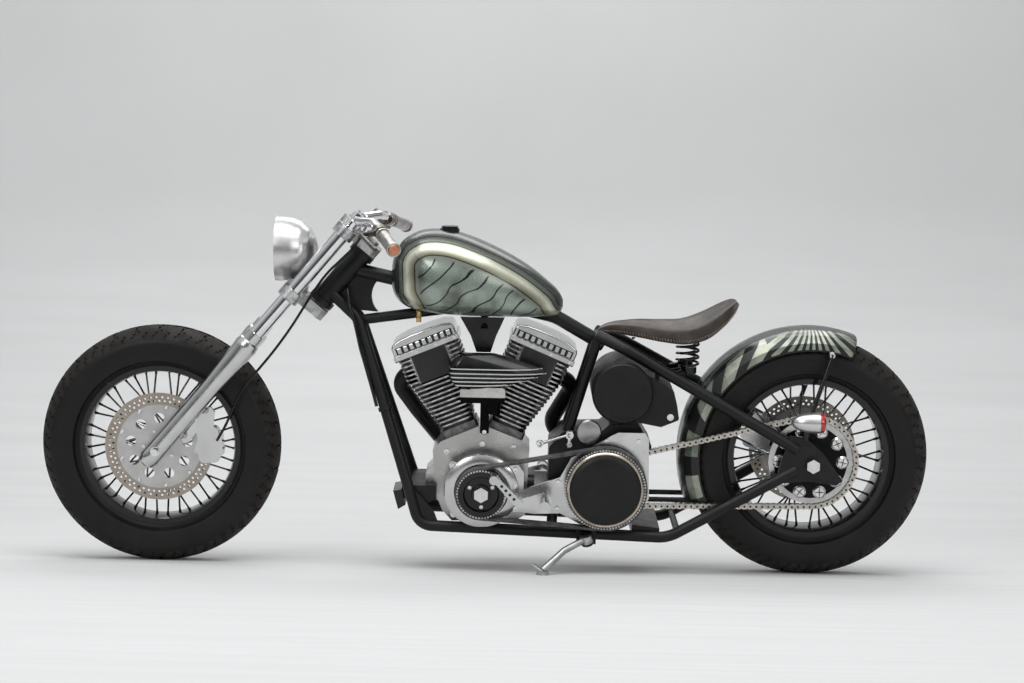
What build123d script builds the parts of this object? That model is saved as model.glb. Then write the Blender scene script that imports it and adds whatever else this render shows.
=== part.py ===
"""A low custom motorcycle: V-twin engine, rigid frame, open belt primary and sprung saddle.

It is modelled upright in its own frame: x forward from the rear axle, y to the rider's left, z up from
the ground, in millimetres. At the end it is leaned to the left, as it parks on its side stand, and moved
so that the middle of its bounding box's bottom is the origin."""
import os
from math import atan2, cos, hypot, pi, radians, sin, sqrt, tan

from build123d import *

os.makedirs("parts", exist_ok=True)

# Driving dimensions
LEAN = 8.0  # parked lean, degrees
WHEELBASE = 1750.0
REAR_R = 327.0  # tyre radii
FRONT_R = 323.0
REAR_HALF = 86.0  # tyre half widths
FRONT_HALF = 70.0
TYRE_SIDES = 64
RIM_IN = 199.0  # the rims' inner wall and flange
RIM_OUT = 217.0
SEAT_GAP = 0.2  # a tyre's bead over its rim
SPOKES = 40
SPOKE_R = 2.6
AXLE_R = 12.5
AXLE_STUB_R = 9.0
RUNNING_GAP = 0.05
DISC_R = 146.0
DISC_THICK = 5.0
RAKE = 39.8  # fork angle from vertical, degrees
TREE_OFFSET = 74.0  # steering axis behind the fork legs
LEG_Y = 110.0
LEG_R = 20.5
STEM_R = 12.7
NECK_R = 30.0
BAR_R = 12.7
RAIL_R = 15.0
STAY_R = 15.9
RAIL_Y = 125.0  # cradle half width at the engine
REAR_Y = 147.0  # and at the rear axle
CRANK = (878.7, 235.0)  # x, z
CLUTCH = (549.7, 254.5)
CYLINDER_LEAN = 22.5
PULLEY_FRONT_R = 64.0
PULLEY_REAR_R = 106.0
BELT_THICK = 6.0
BELT_Y = (150.0, 188.0)  # inner and outer edge
PLATE_Y = (126.0, 136.0)  # motor plate's inner and outer face
CHAIN_Y = 108.0
CHAIN_HALF = 8.5
PITCH = 15.875
REAR_TEETH = 48
GEARBOX_TEETH = 23
REAR_PITCH_R = PITCH / 2 / sin(pi / REAR_TEETH)
GEARBOX_PITCH_R = PITCH / 2 / sin(pi / GEARBOX_TEETH)

FORK_UP = Vector(-sin(radians(RAKE)), 0, cos(radians(RAKE)))
FORK_FRONT = Vector(cos(radians(RAKE)), 0, sin(radians(RAKE)))
FRONT_AXLE = Vector(WHEELBASE, 0, FRONT_R)
REAR_AXLE = Vector(0, 0, REAR_R)
SIDES = (-1, 1)  # right, left
PARTS = {}


def finish(name, piece):
    """Labels a finished piece and keeps it under its name."""
    piece.part.label = name
    PARTS[name] = piece.part


def fork_point(along, ahead=0.0, side=0.0):
    """A point by its distance up the fork from the front axle, ahead of the legs, and to the left."""
    return FRONT_AXLE + FORK_UP * along + FORK_FRONT * ahead + Vector(0, side, 0)


def fork_plane(along, ahead=0.0, side=0.0):
    """A plane square to the fork: its x is ahead, its y is left, its z is up the fork."""
    return Plane(origin=fork_point(along, ahead, side), x_dir=FORK_FRONT, z_dir=FORK_UP)


def neck_point(along, ahead=0.0, side=0.0):
    """A point by its distance along the steering axis, ahead of that axis, and to the left."""
    return fork_point(along, ahead - TREE_OFFSET, side)


def side_plane(y):
    """The plane at y seen from the left: its x is forward, its y is up, extruding towards the right."""
    return Plane(origin=(0, y, 0), x_dir=(1, 0, 0), z_dir=(0, -1, 0))


def wheel_plane(centre):
    """The section plane of a wheel, for revolving: its x is across the bike, its y is the radius."""
    return Plane(origin=centre, x_dir=(0, 1, 0), z_dir=(1, 0, 0))


def tube(points, radius, bends=0.0):
    """A round bar along straight runs with tangent bends."""
    with BuildPart() as made:
        with BuildLine() as path:
            if len(points) == 2:
                Line(*points)
            else:
                FilletPolyline(*points, radius=bends)
        with BuildSketch(Plane(origin=path.line @ 0, z_dir=path.line % 0)):
            Circle(radius)
        sweep()
    return made.part


def rod(start, end, radius, sides=0, end_radius=None):
    """A straight round or many-sided bar, which may taper."""
    start, end = Vector(*start), Vector(*end)
    with BuildPart() as made:
        with BuildSketch(Plane(origin=start, z_dir=end - start)):
            if sides:
                RegularPolygon(radius, sides)
            else:
                Circle(radius)
        if end_radius is None:
            extrude(amount=(end - start).length)
        else:
            with BuildSketch(Plane(origin=end, z_dir=end - start)):
                Circle(end_radius)
            loft()
    return made.part


def slab(points, y_left, y_right, corner=0.0):
    """A plate or block with a side-view outline, from y_left across to y_right."""
    with BuildPart() as made:
        with BuildSketch(side_plane(y_left)) as outline:
            with BuildLine():
                Polyline(*points, close=True)
            make_face()
            if corner:
                fillet(outline.vertices(), corner)
        extrude(amount=y_left - y_right)
    return made.part


def drum(centre, y_left, y_right, radius):
    """A cylinder across the bike."""
    with BuildPart() as made:
        with BuildSketch(side_plane(y_left)):
            with Locations(centre):
                Circle(radius)
        extrude(amount=y_left - y_right)
    return made.part


def band(y_left, y_right, front, front_r, rear, rear_r):
    """A block whose side view is two circles wrapped in one outline, like a belt round its pulleys."""
    with BuildPart() as made:
        with BuildSketch(side_plane(y_left)):
            with Locations(front):
                Circle(front_r)
            with Locations(rear):
                Circle(rear_r)
            make_hull()
        extrude(amount=y_left - y_right)
    return made.part


def turned(centre, profile):
    """A solid of revolution about the wheel axis through centre: profile is (y, radius) pairs, closed."""
    with BuildPart() as made:
        with BuildSketch(wheel_plane(centre)):
            with BuildLine():
                Polyline(*profile, close=True)
            make_face()
        revolve(axis=Axis(centre, (0, 1, 0)))
    return made.part


# Tyres: rings of straight-sided sections from one bead to the other, seated on the rims' flanges
def tyre(name, centre, outer, half, bead):
    shoulder, crown = outer - 0.69 * half, outer - 0.13 * half
    sections = [  # y, radius
        (-bead, RIM_OUT + 2), (-0.93 * half, RIM_OUT + 14), (-half, shoulder), (-0.55 * half, crown),
        (0, outer),
        (0.55 * half, crown), (half, shoulder), (0.93 * half, RIM_OUT + 14), (bead, RIM_OUT + 2),
    ]
    with BuildPart() as made:
        for y, radius in sections:
            with BuildSketch(Plane(origin=centre + Vector(0, y, 0), x_dir=(1, 0, 0), z_dir=(0, 1, 0))):
                RegularPolygon(radius, TYRE_SIDES)
        loft(ruled=True)
        with BuildSketch(Plane(origin=centre + Vector(0, -half, 0), z_dir=(0, 1, 0))):
            Circle(RIM_OUT + SEAT_GAP)
        extrude(amount=2 * half, mode=Mode.SUBTRACT)
    finish(name, made)


def rim(name, centre, half):
    profile = [  # y, radius: the drop-centre band from one flange across to the other and back
        (-half, RIM_OUT), (-half + 4, RIM_OUT), (-half + 5, RIM_IN + 8), (-half + 16, RIM_IN + 4),
        (half - 16, RIM_IN + 4), (half - 5, RIM_IN + 8), (half - 4, RIM_OUT), (half, RIM_OUT),
        (half, RIM_IN + 4), (half - 14, RIM_IN), (-half + 14, RIM_IN), (-half, RIM_IN + 4),
    ]
    with BuildPart() as made:
        add(turned(centre, profile))
    finish(name, made)


# Hubs, each with its laced spokes: half of them on each flange, leading and trailing in turn
def spoked_hub(name, centre, profile, flange_y, flange_r, rim_y):
    lacing = radians(52)
    with BuildPart() as made:
        add(turned(centre, profile))
        for n in range(SPOKES):
            side = 1 if n % 2 else -1
            lead = 1 if (n // 2) % 2 else -1
            at_rim = 2 * pi * (n + 0.5) / SPOKES
            at_hub = at_rim + lead * lacing
            start = Vector(flange_r * cos(at_hub), side * flange_y, flange_r * sin(at_hub))
            end = Vector(RIM_IN * cos(at_rim), side * rim_y, RIM_IN * sin(at_rim))
            short = (end - start).normalized() * 0.8
            add(rod(centre + start, centre + end - short, SPOKE_R, 4))
        with BuildSketch(Plane(origin=centre + Vector(0, -200, 0), z_dir=(0, 1, 0))):
            Circle(AXLE_R + RUNNING_GAP)
        extrude(amount=400, mode=Mode.SUBTRACT)
    finish(name, made)


tyre("front_tyre", FRONT_AXLE, FRONT_R, FRONT_HALF, 44.0)
tyre("rear_tyre", REAR_AXLE, REAR_R, REAR_HALF, 61.0)
rim("front_rim", FRONT_AXLE, 45.0)
rim("rear_rim", REAR_AXLE, 62.0)
FRONT_DISC_Y = 57.0
REAR_DISC_Y = -91.0
FRONT_HUB = [  # y, radius
    (-62, 10), (-62, 24), (-48, 24), (-48, 38), (-40, 38), (-36, 22),
    (36, 22), (40, 38), (48, 38), (48, 30), (FRONT_DISC_Y, 30), (FRONT_DISC_Y, 10),
]
REAR_HUB = [
    (-86, 10), (-86, 34), (-60, 34), (-60, 44), (-52, 44), (-46, 30),
    (46, 30), (52, 44), (60, 44), (60, 34), (88, 34), (88, 10),
]
spoked_hub("front_hub_and_spokes", FRONT_AXLE, FRONT_HUB, 44, 34, 8)
spoked_hub("rear_hub_and_spokes", REAR_AXLE, REAR_HUB, 56, 40, 12)


# Brake discs: a swept band on a carrier with round windows
def brake_disc(name, centre, y_low):
    y_high = y_low + DISC_THICK
    with BuildPart() as made:
        add(turned(centre, [(y_low, 20), (y_low, DISC_R), (y_high, DISC_R), (y_high, 20)]))
        with BuildSketch(Plane(origin=centre + Vector(0, y_low - 1, 0), z_dir=(0, 1, 0))):
            with PolarLocations(0.53 * DISC_R, 9):
                Circle(14)
        extrude(amount=DISC_THICK + 2, mode=Mode.SUBTRACT)
    finish(name, made)


brake_disc("front_brake_disc", FRONT_AXLE, FRONT_DISC_Y)
brake_disc("rear_brake_disc", REAR_AXLE, REAR_DISC_Y)

# Rear sprocket: a toothless ring inside the chain on a ten-lobed carrier, on the hub's left face
SPROCKET_RING_R = REAR_PITCH_R - 8.9
with BuildPart() as rear_sprocket:
    left, right = CHAIN_Y + 4, CHAIN_Y - 4
    add(turned(REAR_AXLE, [(right, 98), (right, SPROCKET_RING_R), (left, SPROCKET_RING_R), (left, 98)]))
    add(turned(REAR_AXLE, [(88, 15), (88, 60), (right - 2, 74), (left - 1, 74), (left - 1, 40),
                           (left + 2, 34), (left + 2, 15)]))
    with BuildSketch(Plane(origin=REAR_AXLE + Vector(0, CHAIN_Y - 3, 0), z_dir=(0, 1, 0))):
        with PolarLocations(86, 10):
            Circle(17)
    extrude(amount=6)
finish("rear_sprocket", rear_sprocket)

# Axles: the front one has stubs for a lift, the rear one has nuts outside the axle plates
AXLE_END = LEG_Y + 30
STUB_LENGTH = 14.0
with BuildPart() as front_axle:
    add(rod((WHEELBASE, -AXLE_END, FRONT_R), (WHEELBASE, AXLE_END, FRONT_R), AXLE_R))
    stub_end = AXLE_END + STUB_LENGTH
    add(rod((WHEELBASE, -stub_end, FRONT_R), (WHEELBASE, stub_end, FRONT_R), AXLE_STUB_R))
finish("front_axle", front_axle)
with BuildPart() as rear_axle:
    add(rod((0, -REAR_Y - 25, REAR_R), (0, REAR_Y + 25, REAR_R), AXLE_R))
    for side in SIDES:
        add(rod((0, side * (REAR_Y + 19), REAR_R), (0, side * (REAR_Y + 33), REAR_R), 19, 6))
finish("rear_axle", rear_axle)

# Fork sliders: polished tapers turned about each leg
SLIDER_TOP = 416.0
SLIDER = [  # distance up the fork, radius
    (-52, 12), (-46, 22), (-30, 27), (60, 26), (230, 26), (352, 31), (372, 32.5), (386, 30), (390, 25),
    (SLIDER_TOP, 25), (SLIDER_TOP, LEG_R),
]
with BuildPart() as fork_sliders:
    for side in SIDES:
        leg = fork_point(0, 0, side * LEG_Y)
        with BuildSketch(Plane(origin=leg, x_dir=FORK_FRONT, z_dir=(0, -1, 0))):
            with BuildLine():
                profile = [(radius, along) for along, radius in SLIDER]
                Polyline((0, SLIDER[0][0]), *profile, (0, SLIDER_TOP), close=True)
            make_face()
        revolve(axis=Axis(leg, FORK_UP))
    with BuildSketch(Plane(origin=(WHEELBASE, -200, FRONT_R), z_dir=(0, 1, 0))):
        Circle(AXLE_R)
    extrude(amount=400, mode=Mode.SUBTRACT)
finish("fork_sliders", fork_sliders)

LEG_TOP = 812.0
CAP_R = 15.0
with BuildPart() as fork_tubes:
    for side in SIDES:
        add(rod(fork_point(SLIDER_TOP, 0, side * LEG_Y), fork_point(LEG_TOP - 16, 0, side * LEG_Y), LEG_R))
        add(rod(fork_point(LEG_TOP - 20, 0, side * LEG_Y), fork_point(LEG_TOP, 0, side * LEG_Y), CAP_R))
finish("fork_tubes", fork_tubes)

# Trees: two leg collars on a waisted plate with a blunt rear end round the steering stem
LOWER_TREE = (540.0, 570.0)  # low and high face, along the fork
UPPER_TREE = (762.0, 790.0)


def tree(low, high):
    blunt = -TREE_OFFSET - 34
    outline = [
        (20, LEG_Y), (14, 60), (20, 30), (20, -30), (14, -60), (20, -LEG_Y), (-22, -LEG_Y), (-24, -96),
        (-32, -46), (blunt + 16, -42), (blunt, -30), (blunt, 30), (blunt + 16, 42), (-32, 46), (-24, 96),
        (-22, LEG_Y),
    ]
    with BuildPart() as made:
        with BuildSketch(fork_plane(low)):
            with Locations((0, LEG_Y), (0, -LEG_Y)):
                Circle(LEG_R + 9.5)
            with BuildLine():
                Polyline(*outline, close=True)
            make_face()
        extrude(amount=high - low)
        with BuildSketch(fork_plane(low - 1)):
            with Locations((0, LEG_Y), (0, -LEG_Y)):
                Circle(LEG_R)
        extrude(amount=high - low + 2, mode=Mode.SUBTRACT)
    return made.part


# Headlamp: a spun bowl and a domed lens, on an arm from the lower tree
LAMP = (1444.0, 860.0)  # the lens plane's x, and z
LAMP_R = 87.0
LENS_R = 78.0
BOWL = [  # distance behind the lens, radius
    (112, 0), (111, 14), (104, 36), (90, 58), (70, 74), (45, 83), (20, LAMP_R), (0, LAMP_R), (0, LENS_R),
    (6, LENS_R), (6, 0),
]
with BuildPart() as headlamp_bowl:
    with BuildSketch(side_plane(0)):
        with BuildLine():
            Polyline(*[(LAMP[0] - back, LAMP[1] + radius) for back, radius in BOWL], close=True)
        make_face()
    revolve(axis=Axis((LAMP[0], 0, LAMP[1]), (1, 0, 0)))
finish("headlamp_bowl", headlamp_bowl)
with BuildPart() as headlamp_lens:
    with BuildSketch(side_plane(0)):
        with BuildLine():
            Polyline((LAMP[0] - 4, LAMP[1] + LENS_R - 0.2), (LAMP[0] - 6, LAMP[1] + LENS_R - 0.2),
                     (LAMP[0] - 6, LAMP[1]), (LAMP[0] + 8, LAMP[1]))
            ThreePointArc((LAMP[0] + 8, LAMP[1]), (LAMP[0] + 5, LAMP[1] + 42),
                          (LAMP[0] - 4, LAMP[1] + LENS_R - 0.2))
        make_face()
    revolve(axis=Axis((LAMP[0], 0, LAMP[1]), (1, 0, 0)))
finish("headlamp_lens", headlamp_lens)

with BuildPart() as lower_tree:
    add(tree(*LOWER_TREE))
    add(rod(neck_point(LOWER_TREE[1] - 10), neck_point(UPPER_TREE[1]), STEM_R))
    add(rod(neck_point(UPPER_TREE[1]), neck_point(UPPER_TREE[1] + 9), 19, 6))
    add(slab([(LAMP[0] - 60, LAMP[1] - 66), (LAMP[0] - 84, LAMP[1] - 50), (LAMP[0] - 86, LAMP[1] - 115),
              (LAMP[0] - 78, LAMP[1] - 138), (LAMP[0] - 52, LAMP[1] - 118)], 12, -12))
    add(headlamp_bowl.part, mode=Mode.SUBTRACT)
finish("lower_tree", lower_tree)
with BuildPart() as upper_tree:
    add(tree(*UPPER_TREE))
    add(lower_tree.part, mode=Mode.SUBTRACT)
finish("upper_tree", upper_tree)

# Handlebar: one bent tube on two risers
BAR = [(1118, -320, 902), (1176, -124, 945), (1224, -62, 942), (1224, 62, 942), (1176, 124, 945),
       (1118, 320, 902)]
BAR_DIR = (Vector(*BAR[5]) - Vector(*BAR[4])).normalized()
RISER_Y = 38.0


def along_bar(reach, side=1):
    """A point reach along the left (or right) end of the bar from its bend."""
    point = Vector(*BAR[4]) + BAR_DIR * reach
    return Vector(point.X, side * point.Y, point.Z)


with BuildPart() as handlebar:
    add(tube(BAR, BAR_R, 22))
    for side in SIDES:
        with BuildSketch(fork_plane(UPPER_TREE[1], -8, side * RISER_Y)):
            RectangleRounded(34, 26, 6)
        extrude(amount=40)
finish("handlebar", handlebar)

# Grips: knurled sleeves with a shoulder at each end
GRIP = (106.0, 236.0)  # from and to, along the bar
with BuildPart() as grips:
    for side in SIDES:
        add(rod(along_bar(GRIP[0], side), along_bar(GRIP[1], side), 16.5))
        for start in (GRIP[0], GRIP[1] - 8):
            add(rod(along_bar(start, side), along_bar(start + 8, side), 19))
    add(handlebar.part, mode=Mode.SUBTRACT)
finish("grips", grips)

# Controls: a clamp and lever on each side, and on the right the brake's tilted fluid box
with BuildPart() as controls_and_levers:
    for side in SIDES:
        start = along_bar(60, side)
        add(rod(start, along_bar(98, side), 19))
        pivot = along_bar(86, side) + Vector(30, 0, -4)
        add(rod(along_bar(82, side), pivot + Vector(4, 0, 0), 9))
        tip = along_bar(214, side) + Vector(42, 0, -8)
        add(tube([pivot, pivot + Vector(22, side * 22, 0), tip], 5.5, 12))
    with BuildSketch(Plane(origin=(1171, -182, 941), x_dir=(0.736, 0, 0.677), z_dir=(-0.677, 0, 0.736))):
        RectangleRounded(50, 52, 6)
    extrude(amount=-44)
    add(handlebar.part, mode=Mode.SUBTRACT)
    add(grips.part, mode=Mode.SUBTRACT)
finish("controls_and_levers", controls_and_levers)


# Calipers: a two-piece body that straddles the disc, on a bracket that bolts to its leg or plate
def caliper_body(centre, angle, disc_middle, reach):
    middle = Pos(centre.X, disc_middle, centre.Z) * Rot(0, -angle, 0) * Pos(reach, 0, 0)
    with BuildPart() as made:
        with Locations(middle):
            Box(58, 46, 96)
        fillet(made.edges().filter_by(Axis.Y), 16)
        with Locations(middle * Pos(26, 0, 0)):
            Box(22, 46, 56)
        with Locations(middle * Pos(-22, 0, 0)):
            Box(90, 12, 150, mode=Mode.SUBTRACT)
    return made.part


FRONT_DISC_MIDDLE = FRONT_DISC_Y + DISC_THICK / 2
with BuildPart() as front_caliper:
    add(caliper_body(FRONT_AXLE, 176, FRONT_DISC_MIDDLE, 136))
    bracket = [  # from the axle
        (-62, 30), (-80, 50), (-126, 110), (-142, 114), (-152, 100), (-148, 70), (-152, 30), (-122, -20),
        (-96, -10), (-108, 28), (-102, 44), (-84, 18), (-68, 12),
    ]
    add(slab([(WHEELBASE + x, FRONT_R + z) for x, z in bracket], FRONT_DISC_Y + 26, FRONT_DISC_Y + 16))
    for along in (72, 162):
        add(rod(fork_point(along, -33, FRONT_DISC_Y + 18), fork_point(along, -24, LEG_Y), 9))
    add(fork_sliders.part, mode=Mode.SUBTRACT)
finish("front_caliper", front_caliper)

# Frame backbone: neck, top tube, molded gusset, brace and the bridge under the saddle's nose
NECK = (LOWER_TREE[1] + 5, UPPER_TREE[0] - 5)
GUSSET_HALF = 9.0
SEAT_BRIDGE = (570.0, 636.0)


def neck_xz(along, ahead):
    point = neck_point(along, ahead)
    return (point.X, point.Z)


with BuildPart() as frame_backbone:
    add(rod(neck_point(NECK[0]), neck_point(NECK[1]), NECK_R))
    for start in (NECK[0], NECK[1] - 16):
        add(rod(neck_point(start), neck_point(start + 16), NECK_R + 6))
    add(tube([neck_point(707, -20), (690, 0, 692), (556, 0, 616)], 19, 120))
    add(tube([neck_point(617, -121), (1072, 0, 692), (880, 0, 722)], 14, 60))
    add(rod((SEAT_BRIDGE[0], -62, SEAT_BRIDGE[1]), (SEAT_BRIDGE[0], 62, SEAT_BRIDGE[1]), 17))
    with BuildSketch(side_plane(GUSSET_HALF)):
        with BuildLine():
            Polyline(neck_xz(658, -135), neck_xz(614, -74), neck_xz(619, -46), neck_xz(595, -20),
                     neck_xz(720, -20), neck_xz(718, -80))
            ThreePointArc(neck_xz(718, -80), neck_xz(680, -94), neck_xz(658, -135))
        make_face()
    extrude(amount=2 * GUSSET_HALF)
    neck_bore = rod(neck_point(NECK[0] - 5), neck_point(NECK[1] + 5), STEM_R + RUNNING_GAP)
    add(neck_bore, mode=Mode.SUBTRACT)
finish("frame_backbone", frame_backbone)

# Frame cradle: on each side one tube from the neck round to the rear axle, an upper stay, a seat tube
# and an axle plate, joined across by the engine's and gearbox's crossmembers
RAIL_FRONT = CRANK[0] + 193
RAIL_Z = 136.0
STAND_PIVOT = Vector(596, 168, 118)
STAND_AXIS = Vector(0.204, 0.3235, 0.924).normalized()
STAND_HUB_HALF = 11.0
LUG_THICK = 6.0

with BuildPart() as frame_cradle:
    for side in SIDES:
        add(tube([neck_point(615, -10, side * 16), neck_point(612, -109, side * 30),
                  (RAIL_FRONT, side * RAIL_Y, 232), (RAIL_FRONT - 28, side * RAIL_Y, RAIL_Z),
                  (378, side * 136, RAIL_Z - 18), (40, side * REAR_Y, REAR_R - 15)],
                 RAIL_R, [60, 40, 46, 95]))
        add(tube([(575, side * 50, 648), (500, side * 86, 617), (40, side * REAR_Y, REAR_R + 39)],
                 STAY_R, 60))
        add(tube([(578, side * 52, 630), (676, side * 62, 300), (690, side * 118, RAIL_Z - 6)], 14, 60))
        add(slab([(62, 404), (18, 398), (-30, 356), (-82, 286), (-66, 272), (10, 282), (92, 274), (92, 300)],
                 side * REAR_Y + 6, side * REAR_Y - 6))
        add(slab([(1078, 250), (1062, 180), (1040, 138), (990, 136), (1004, 172), (1040, 216)],
                 side * RAIL_Y + 4, side * RAIL_Y - 4))
    add(slab([(1070, 242), (1000, 242), (1000, 206), (1052, 180), (1072, 196)], 116, -116))
    add(slab([(474, 150), (400, 142), (400, 112), (474, 116)], 130, -130))
    add(rod((352, -134, 133), (352, 134, 133), 9))
    add(rod((1142.5, 79, 448), (1139.2, 81.1, 438), RAIL_R + 4))
    add(slab([(622, 144), (570, 144), (570, 98), (622, 98)], 148, 126))
    for start, end, radius in ((11.5, 17.5, 16), (-17.5, -11.5, 16), (-17.5, 17.5, 7)):
        add(rod(STAND_PIVOT + STAND_AXIS * start, STAND_PIVOT + STAND_AXIS * end, radius))
    for offset in (17.5, -11.5):
        corner = STAND_PIVOT + STAND_AXIS * offset
        with BuildSketch(Plane(origin=corner, x_dir=(1, 0, -STAND_AXIS.X / STAND_AXIS.Z),
                               z_dir=STAND_AXIS)):
            with Locations((0, -14)):
                Rectangle(32, 28)
        extrude(amount=-LUG_THICK)
    add(frame_backbone.part, mode=Mode.SUBTRACT)
    add(neck_bore, mode=Mode.SUBTRACT)
    add(rod((0, -200, REAR_R), (0, 200, REAR_R), AXLE_R), mode=Mode.SUBTRACT)
finish("frame_cradle", frame_cradle)

# Crankcase: a five-sided case with the crank's boss on the left and the gear cover on the right
with BuildPart() as crankcase:
    add(slab([(984, 168), (1004, 217), (1012, 330), (990, 356), (895, 397), (863, 397), (774, 363),
              (752, 340), (760, 160), (790, 140), (958, 140)], 78, -78))
    add(slab([(1032, 222), (1030, 268), (1007, 293), (980, 293), (980, 217)], 60, -60))
    add(drum(CRANK, 106, 70, 88))
    add(slab([(1012, 170), (1020, 250), (960, 330), (800, 330), (756, 250), (780, 150), (980, 150)],
             -70, -112, 30))
    add(frame_cradle.part, mode=Mode.SUBTRACT)
finish("crankcase", crankcase)

# Cylinders: a base flange, a barrel and a head, with fins that grow wider from the base to the top
FIN_PITCH = 12.6
FIN_THICK = 4.2
FIN_COUNT = 17
HEAD_TOP = 396.0  # distances from the crank
CYLINDER_BLOCKS = (  # from, to, width, depth, corner
    (148, 174, 104, 110, 10),
    (174, 320, 96, 104, 30),
    (320, HEAD_TOP, 112, 156, 16),
)
ROCKER = [(-93, 0), (-93, 16), (-89, 20), (-89, 38), (-84, 46), (-60, 54), (60, 54), (84, 46), (89, 38),
          (89, 20), (93, 16), (93, 0)]


def cylinder_plane(lean, along):
    """A plane square to a cylinder: its x is away from the V, its z is up the cylinder."""
    across = Vector(cos(radians(lean)), 0, -sin(radians(lean)))
    up = Vector(sin(radians(lean)), 0, cos(radians(lean)))
    return Plane(origin=Vector(CRANK[0], 0, CRANK[1]) + up * along, x_dir=across, z_dir=up)


def cylinder(lean):
    with BuildPart() as made:
        for start, end, wide, deep, corner in CYLINDER_BLOCKS:
            with BuildSketch(cylinder_plane(lean, start)):
                RectangleRounded(wide, deep, corner)
            extrude(amount=end - start)
        for n in range(FIN_COUNT):
            grow = min(n, 12)
            with BuildSketch(cylinder_plane(lean, 184 + FIN_PITCH * n)):
                RectangleRounded(100 + 6 * grow, 122 + 2 * grow, 26)
            extrude(amount=FIN_THICK)
        add(crankcase.part, mode=Mode.SUBTRACT)
    return made


def rocker_box(lean):
    """A rocker box: a flanged cover with an arched top and a row of ribs along both faces."""
    foot = cylinder_plane(lean, HEAD_TOP)
    with BuildPart() as made:
        with BuildSketch(Plane(origin=foot.origin, x_dir=foot.x_dir, z_dir=(0, -1, 0))):
            with BuildLine():
                Polyline(*ROCKER, close=True)
            make_face()
        extrude(amount=77, both=True)
        with BuildSketch(cylinder_plane(lean, HEAD_TOP + 20)):
            with GridLocations(18, 157, 9, 2):
                Rectangle(10, 7)
        extrude(amount=18)
    return made.part


with BuildPart() as rear_cylinder:
    add(cylinder(-CYLINDER_LEAN).part)
finish("rear_cylinder", rear_cylinder)
with BuildPart() as front_cylinder:
    add(cylinder(CYLINDER_LEAN).part)
    add(rear_cylinder.part, mode=Mode.SUBTRACT)
finish("front_cylinder", front_cylinder)
with BuildPart() as rocker_boxes:
    for lean in (CYLINDER_LEAN, -CYLINDER_LEAN):
        add(rocker_box(lean))
    add(frame_backbone.part, mode=Mode.SUBTRACT)
finish("rocker_boxes", rocker_boxes)

# Carburettor: its throat, body and float bowl between the cylinders, on a post from the crankcase
with BuildPart() as carburettor:
    add(rod((880, 0, 490), (880, 92, 490), 24))
    add(slab([(940, 512), (820, 512), (820, 470), (940, 470)], 128, 84, 10))
    add(rod((850, 110, 440), (850, 110, 471), 18))
    add(slab([(886, 384), (886, 472), (862, 472), (862, 384)], 98, 84))
    add(rod((874, 78, 388), (874, 98, 388), 8))
    add(front_cylinder.part, mode=Mode.SUBTRACT)
    add(rear_cylinder.part, mode=Mode.SUBTRACT)
finish("carburettor", carburettor)

# Air cleaner: a tear-shaped core with ribs round it and a flat cover
CLEANER_FRONT = (922, 556)
CLEANER_REAR = (722, 556)
with BuildPart() as air_cleaner:
    add(band(150, 102, CLEANER_FRONT, 45, CLEANER_REAR, 12))
    for n in range(5):
        rib_y = 106 + 10 * n
        add(band(rib_y + 4, rib_y, CLEANER_FRONT, 50, CLEANER_REAR, 16))
    add(band(156, 148, CLEANER_FRONT, 38, CLEANER_REAR, 10))
    add(rod((880, 84, 520), (880, 103, 540), 22))
    add(carburettor.part, mode=Mode.SUBTRACT)
    add(front_cylinder.part, mode=Mode.SUBTRACT)
    add(rear_cylinder.part, mode=Mode.SUBTRACT)
finish("air_cleaner", air_cleaner)

# Pushrod tubes, two to a cylinder on the right
with BuildPart() as pushrod_tubes:
    for lean in (CYLINDER_LEAN, -CYLINDER_LEAN):
        outward = 1 if lean > 0 else -1
        head = cylinder_plane(lean, HEAD_TOP)
        for foot in (40, 6):
            low_end = Vector(CRANK[0] + outward * (foot * 1.3 + 18), -96, 326)
            high_end = head.origin + Vector(outward * foot * 0.9, -88, -0.2 * foot)
            add(rod(low_end, high_end, 9))
    for piece in (crankcase, rocker_boxes, front_cylinder, rear_cylinder):
        add(piece.part, mode=Mode.SUBTRACT)
finish("pushrod_tubes", pushrod_tubes)

# Exhaust: one pipe from the front of the front head and one from the back of the rear head
PIPE_R = 22.0
with BuildPart() as exhaust_pipes:
    add(tube([(1045, -30, 545), (1118, -50, 500), (1060, -92, 413), (1000, -146, 330), (880, -172, 196),
              (470, -176, 176)], PIPE_R, [40, 100, 100, 70]))
    add(tube([(724, -40, 540), (632, -70, 500), (700, -150, 370), (560, -172, 262), (440, -176, 250)],
             PIPE_R, [40, 50, 60]))
    for piece in (front_cylinder, rear_cylinder, rocker_boxes, frame_cradle):
        add(piece.part, mode=Mode.SUBTRACT)
finish("exhaust_pipes", exhaust_pipes)

# Gearbox: its case and lid, its side cover on the right, and the chain's small sprocket on the left
with BuildPart() as gearbox:
    add(slab([(700, 200), (700, 350), (664, 392), (560, 396), (540, 414), (458, 412), (424, 356), (446, 300),
              (470, 200), (490, 180), (680, 180)], 96, -96, 10))
    add(drum((590, 280), -90, -118, 74))
    add(drum(CLUTCH, PLATE_Y[1], 90, 22))
    add(drum(CLUTCH, CHAIN_Y + 4, CHAIN_Y - 4, GEARBOX_PITCH_R - 8.4))
    for piece in (frame_cradle, crankcase, rear_cylinder, exhaust_pipes):
        add(piece.part, mode=Mode.SUBTRACT)
finish("gearbox", gearbox)

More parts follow.
